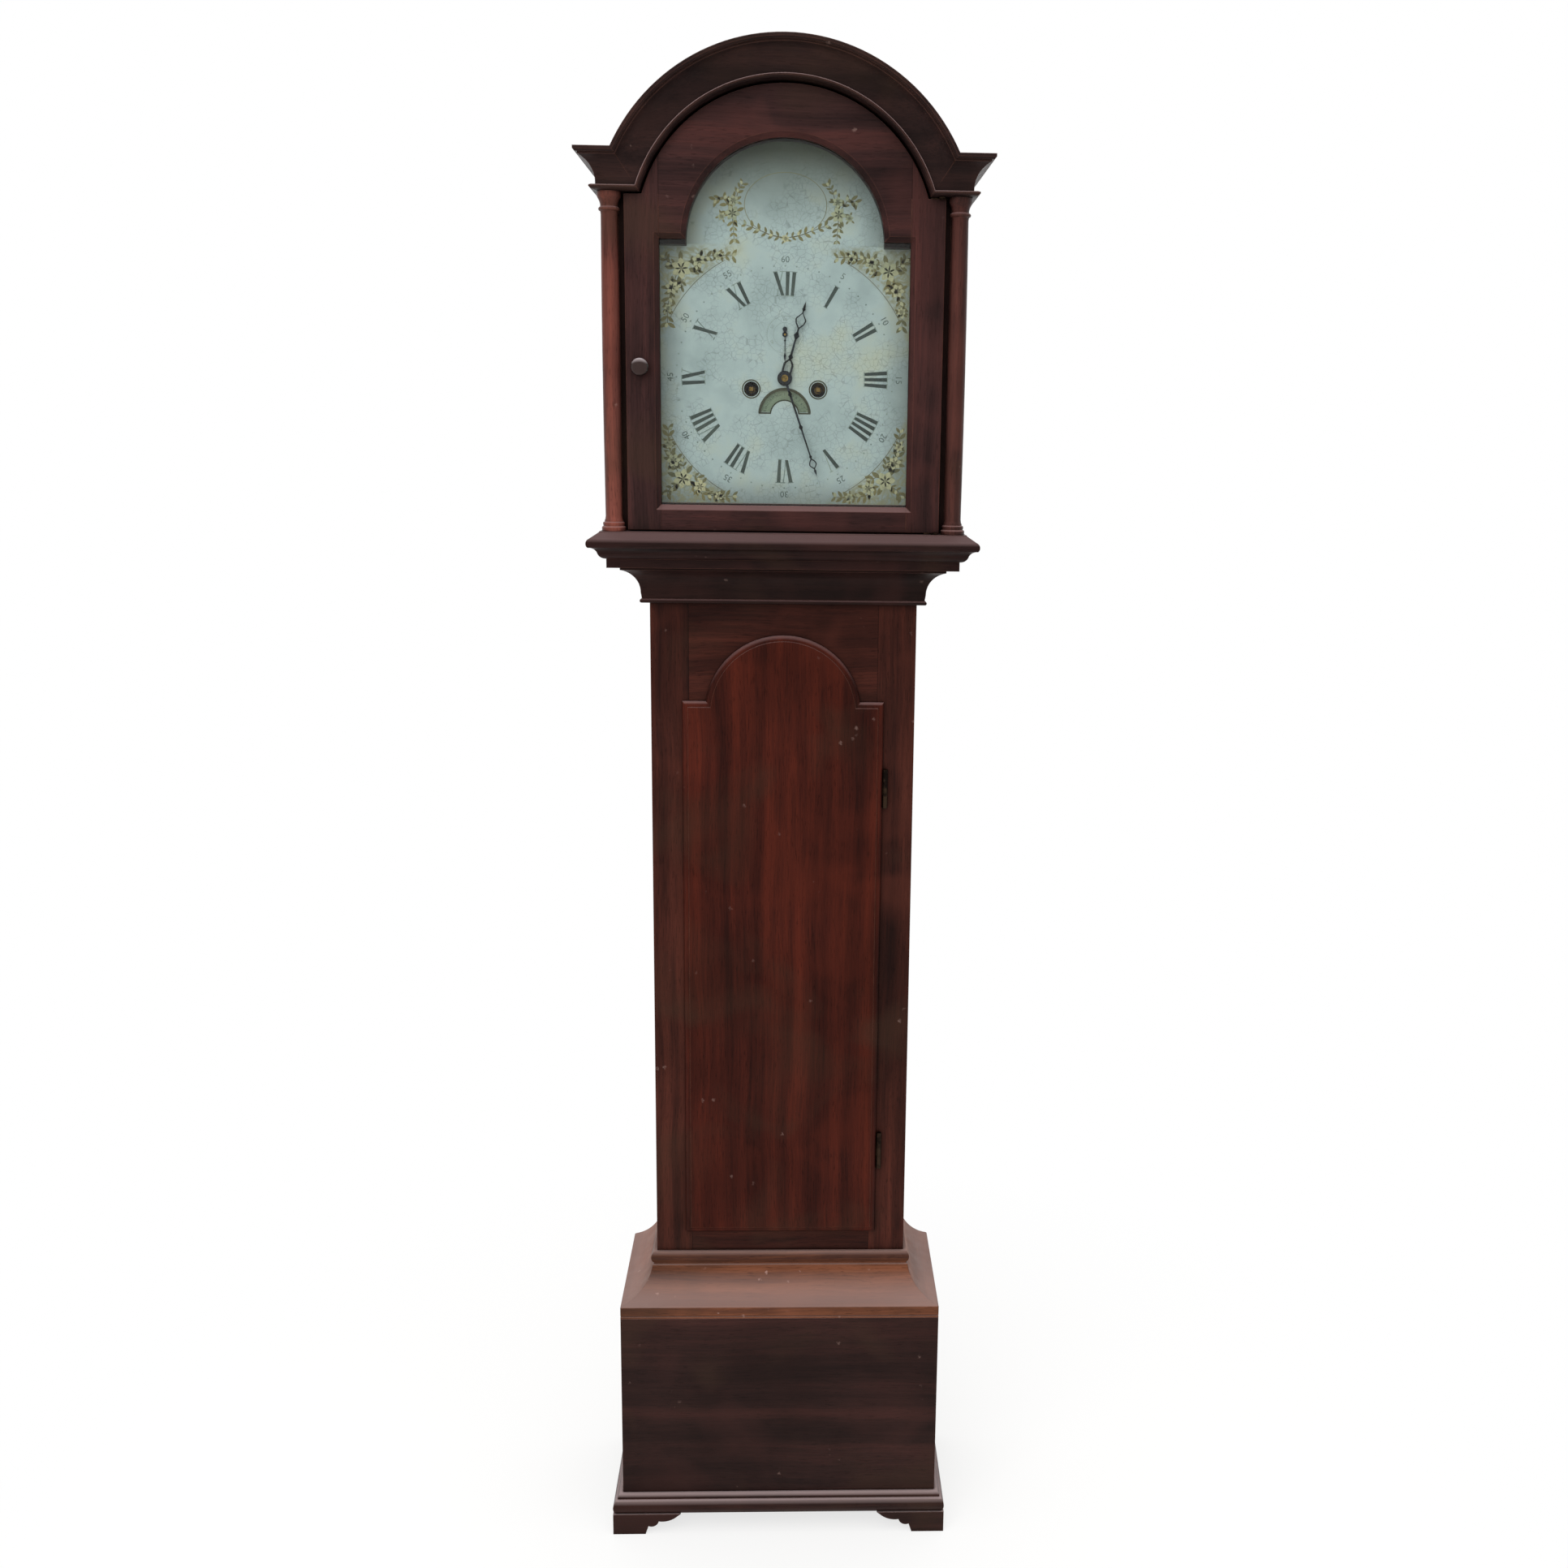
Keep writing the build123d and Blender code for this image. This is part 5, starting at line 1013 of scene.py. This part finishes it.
# Degrees from twelve: the hour hand is half way to one, the minute hand just short of the half hour
hour_angle, minute_angle = 15.6, 161.0
hour_loops = pointer(
    length=93.5, boss=9.0, bore=2.9, wide=3.2, knops=((26, 3.0), (52, 3.6), (84, 2.2)),
    loops=((70, 9.5, 6.0),), crossed=(24, 5.0),
)
minute_loops = pointer(
    length=123.0, boss=7.4, bore=1.9, wide=3.0, knops=((20, 2.6), (61, 2.6), (98, 1.9)),
    loops=((107, 6.5, 4.2),),
)
for name, loops, angle, front, body, node in (
    ("hour-hand-pierced", hour_loops, hour_angle, -0.0549, "hour_pipe", "hour_hand"),
    ("minute-hand-pierced", minute_loops, minute_angle, -0.0581, "centre_arbor", "minute_hand"),
):
    hand = flat(name, turned_out(loops, (0, 0), angle), front, 0.0009, blued, body)
    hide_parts(node)
small = pointer(length=32.0, boss=3.2, bore=1.3, wide=1.1, knops=((7, 1.2),))
small += [[(-0.7, -1.5), (0.7, -1.5), (3.0, -6.5), (1.4, -9.0), (-1.4, -9.0), (-3.0, -6.5)]]
small = turned_out(small, seconds_at, 180)
hand = flat("seconds-hand-fine", small, -0.0527, 0.0006, blued, "escape_arbor")
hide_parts("seconds_hand")
# The collet is bored for the arbor, so its profile comes back to where it starts
collet_profile = [(0.0017, -0.0002), (0.0042, -0.0002), (0.0042, 0.0007), (0.0036, 0.0012)]
collet_profile += [(0.0028, 0.0015), (0.0017, 0.0015), (0.0017, -0.0002)]
collet_at = (0, -0.0582, dial_centre.y)
lathe("hand-collet", collet_profile, collet_at, (0, -1, 0), 32, brass, "centre_arbor")


# Lines: twisted gut from each barrel down round the pulley and up to a knot in the seatboard. In the
# clock both runs shorten as the weight is wound up; here they are fixed to the case, and the half
# turn round the pulley rides on the weight.
gut, tree = blank("twisted gut")
place = put(tree, "ShaderNodeTexCoord").outputs["Object"]
ply = {"Vector": place, "Scale": 160.0, "Distortion": 1.5}
twist = put(tree, "ShaderNodeTexWave", ply, bands_direction="DIAGONAL").outputs["Fac"]
tone = put(
    tree, "ShaderNodeValToRGB", {0: twist}, stops=((0.2, paint("#5d4625")), (0.8, paint("#a3834f")))
).outputs[0]
raised = put(tree, "ShaderNodeBump", {"Height": twist, "Strength": 0.4, "Distance": 0.0002}).outputs[0]
surface = put(
    tree, "ShaderNodeBsdfPrincipled", {"Base Color": tone, "Roughness": 0.45, "Normal": raised}
).outputs[0]
put(tree, "ShaderNodeOutputMaterial", {"Surface": surface})
line_radius, line_y, pulley_z, pulley_reach = 0.0008, 0.013, 0.342, 0.021
barrel_z, barrel_reach, seat_z, fall_travel = 1.528, 0.023, 1.461, 1.07
turn_pitch, turn_steps, knot_size = 0.0018, 32, 0.0011


def gut_line(name, points, body):
    """A gut line through points, as a closed tube that rides on a body."""
    path = bpy.data.curves.new(name, "CURVE")
    path.dimensions = "3D"
    path.bevel_depth = line_radius
    path.bevel_resolution = 2
    path.use_fill_caps = True
    run = path.splines.new("POLY")
    run.points.add(len(points) - 1)
    for spot, point in zip(run.points, points):
        spot.co = (*point, 1)
    drawn = bpy.data.objects.new(name, path)
    bpy.context.scene.collection.objects.link(drawn)
    mesh = bpy.data.meshes.new_from_object(drawn)
    bpy.data.objects.remove(drawn)
    bpy.data.curves.remove(path)
    mesh.materials.clear()
    mesh.materials.append(gut)
    piece = bpy.data.objects.new(name, mesh)
    bpy.context.scene.collection.objects.link(piece)
    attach(piece, body)
    return piece


for train, barrel_x, pulley_x in (("going", 0.0405, 0.0385), ("strike", -0.0405, -0.0425)):
    sides = (("fall", pulley_x - pulley_reach, barrel_z), ("return", pulley_x + pulley_reach, seat_z))
    for part, x, top in sides:
        run = [(x, line_y, pulley_z + line_radius), (x, line_y, top)]
        line = gut_line(f"{train}-line-{part}", run, "case")
        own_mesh(line)
        if part == "fall":
            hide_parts(f"{train}_line")
    bend = [math.pi + math.pi * i / 24 for i in range(25)]
    loop = [
        (pulley_x + pulley_reach * math.cos(a), line_y, pulley_z + pulley_reach * math.sin(a)) for a in bend
    ]
    gut_line(f"{train}-line-loop", loop, f"{train}_weight")
    turns = []
    for i in range(3 * turn_steps + 1):
        a = math.pi - 2 * math.pi * i / turn_steps
        x, z = barrel_x + barrel_reach * math.cos(a), barrel_z + barrel_reach * math.sin(a)
        turns.append((x, line_y + turn_pitch * i / turn_steps, z))
    gut_line(f"{train}-line-turns", turns, f"{train}_barrel")
    knot = []
    for i in range(41):
        a = 2 * math.pi * i / 40
        x = pulley_x + pulley_reach + knot_size * (math.sin(a) + 2 * math.sin(2 * a))
        y = line_y + knot_size * (math.cos(a) - 2 * math.cos(2 * a))
        knot.append((x, y, seat_z + 2 * knot_size + knot_size * math.sin(3 * a)))
    gut_line(f"{train}-line-knot", knot, "case")
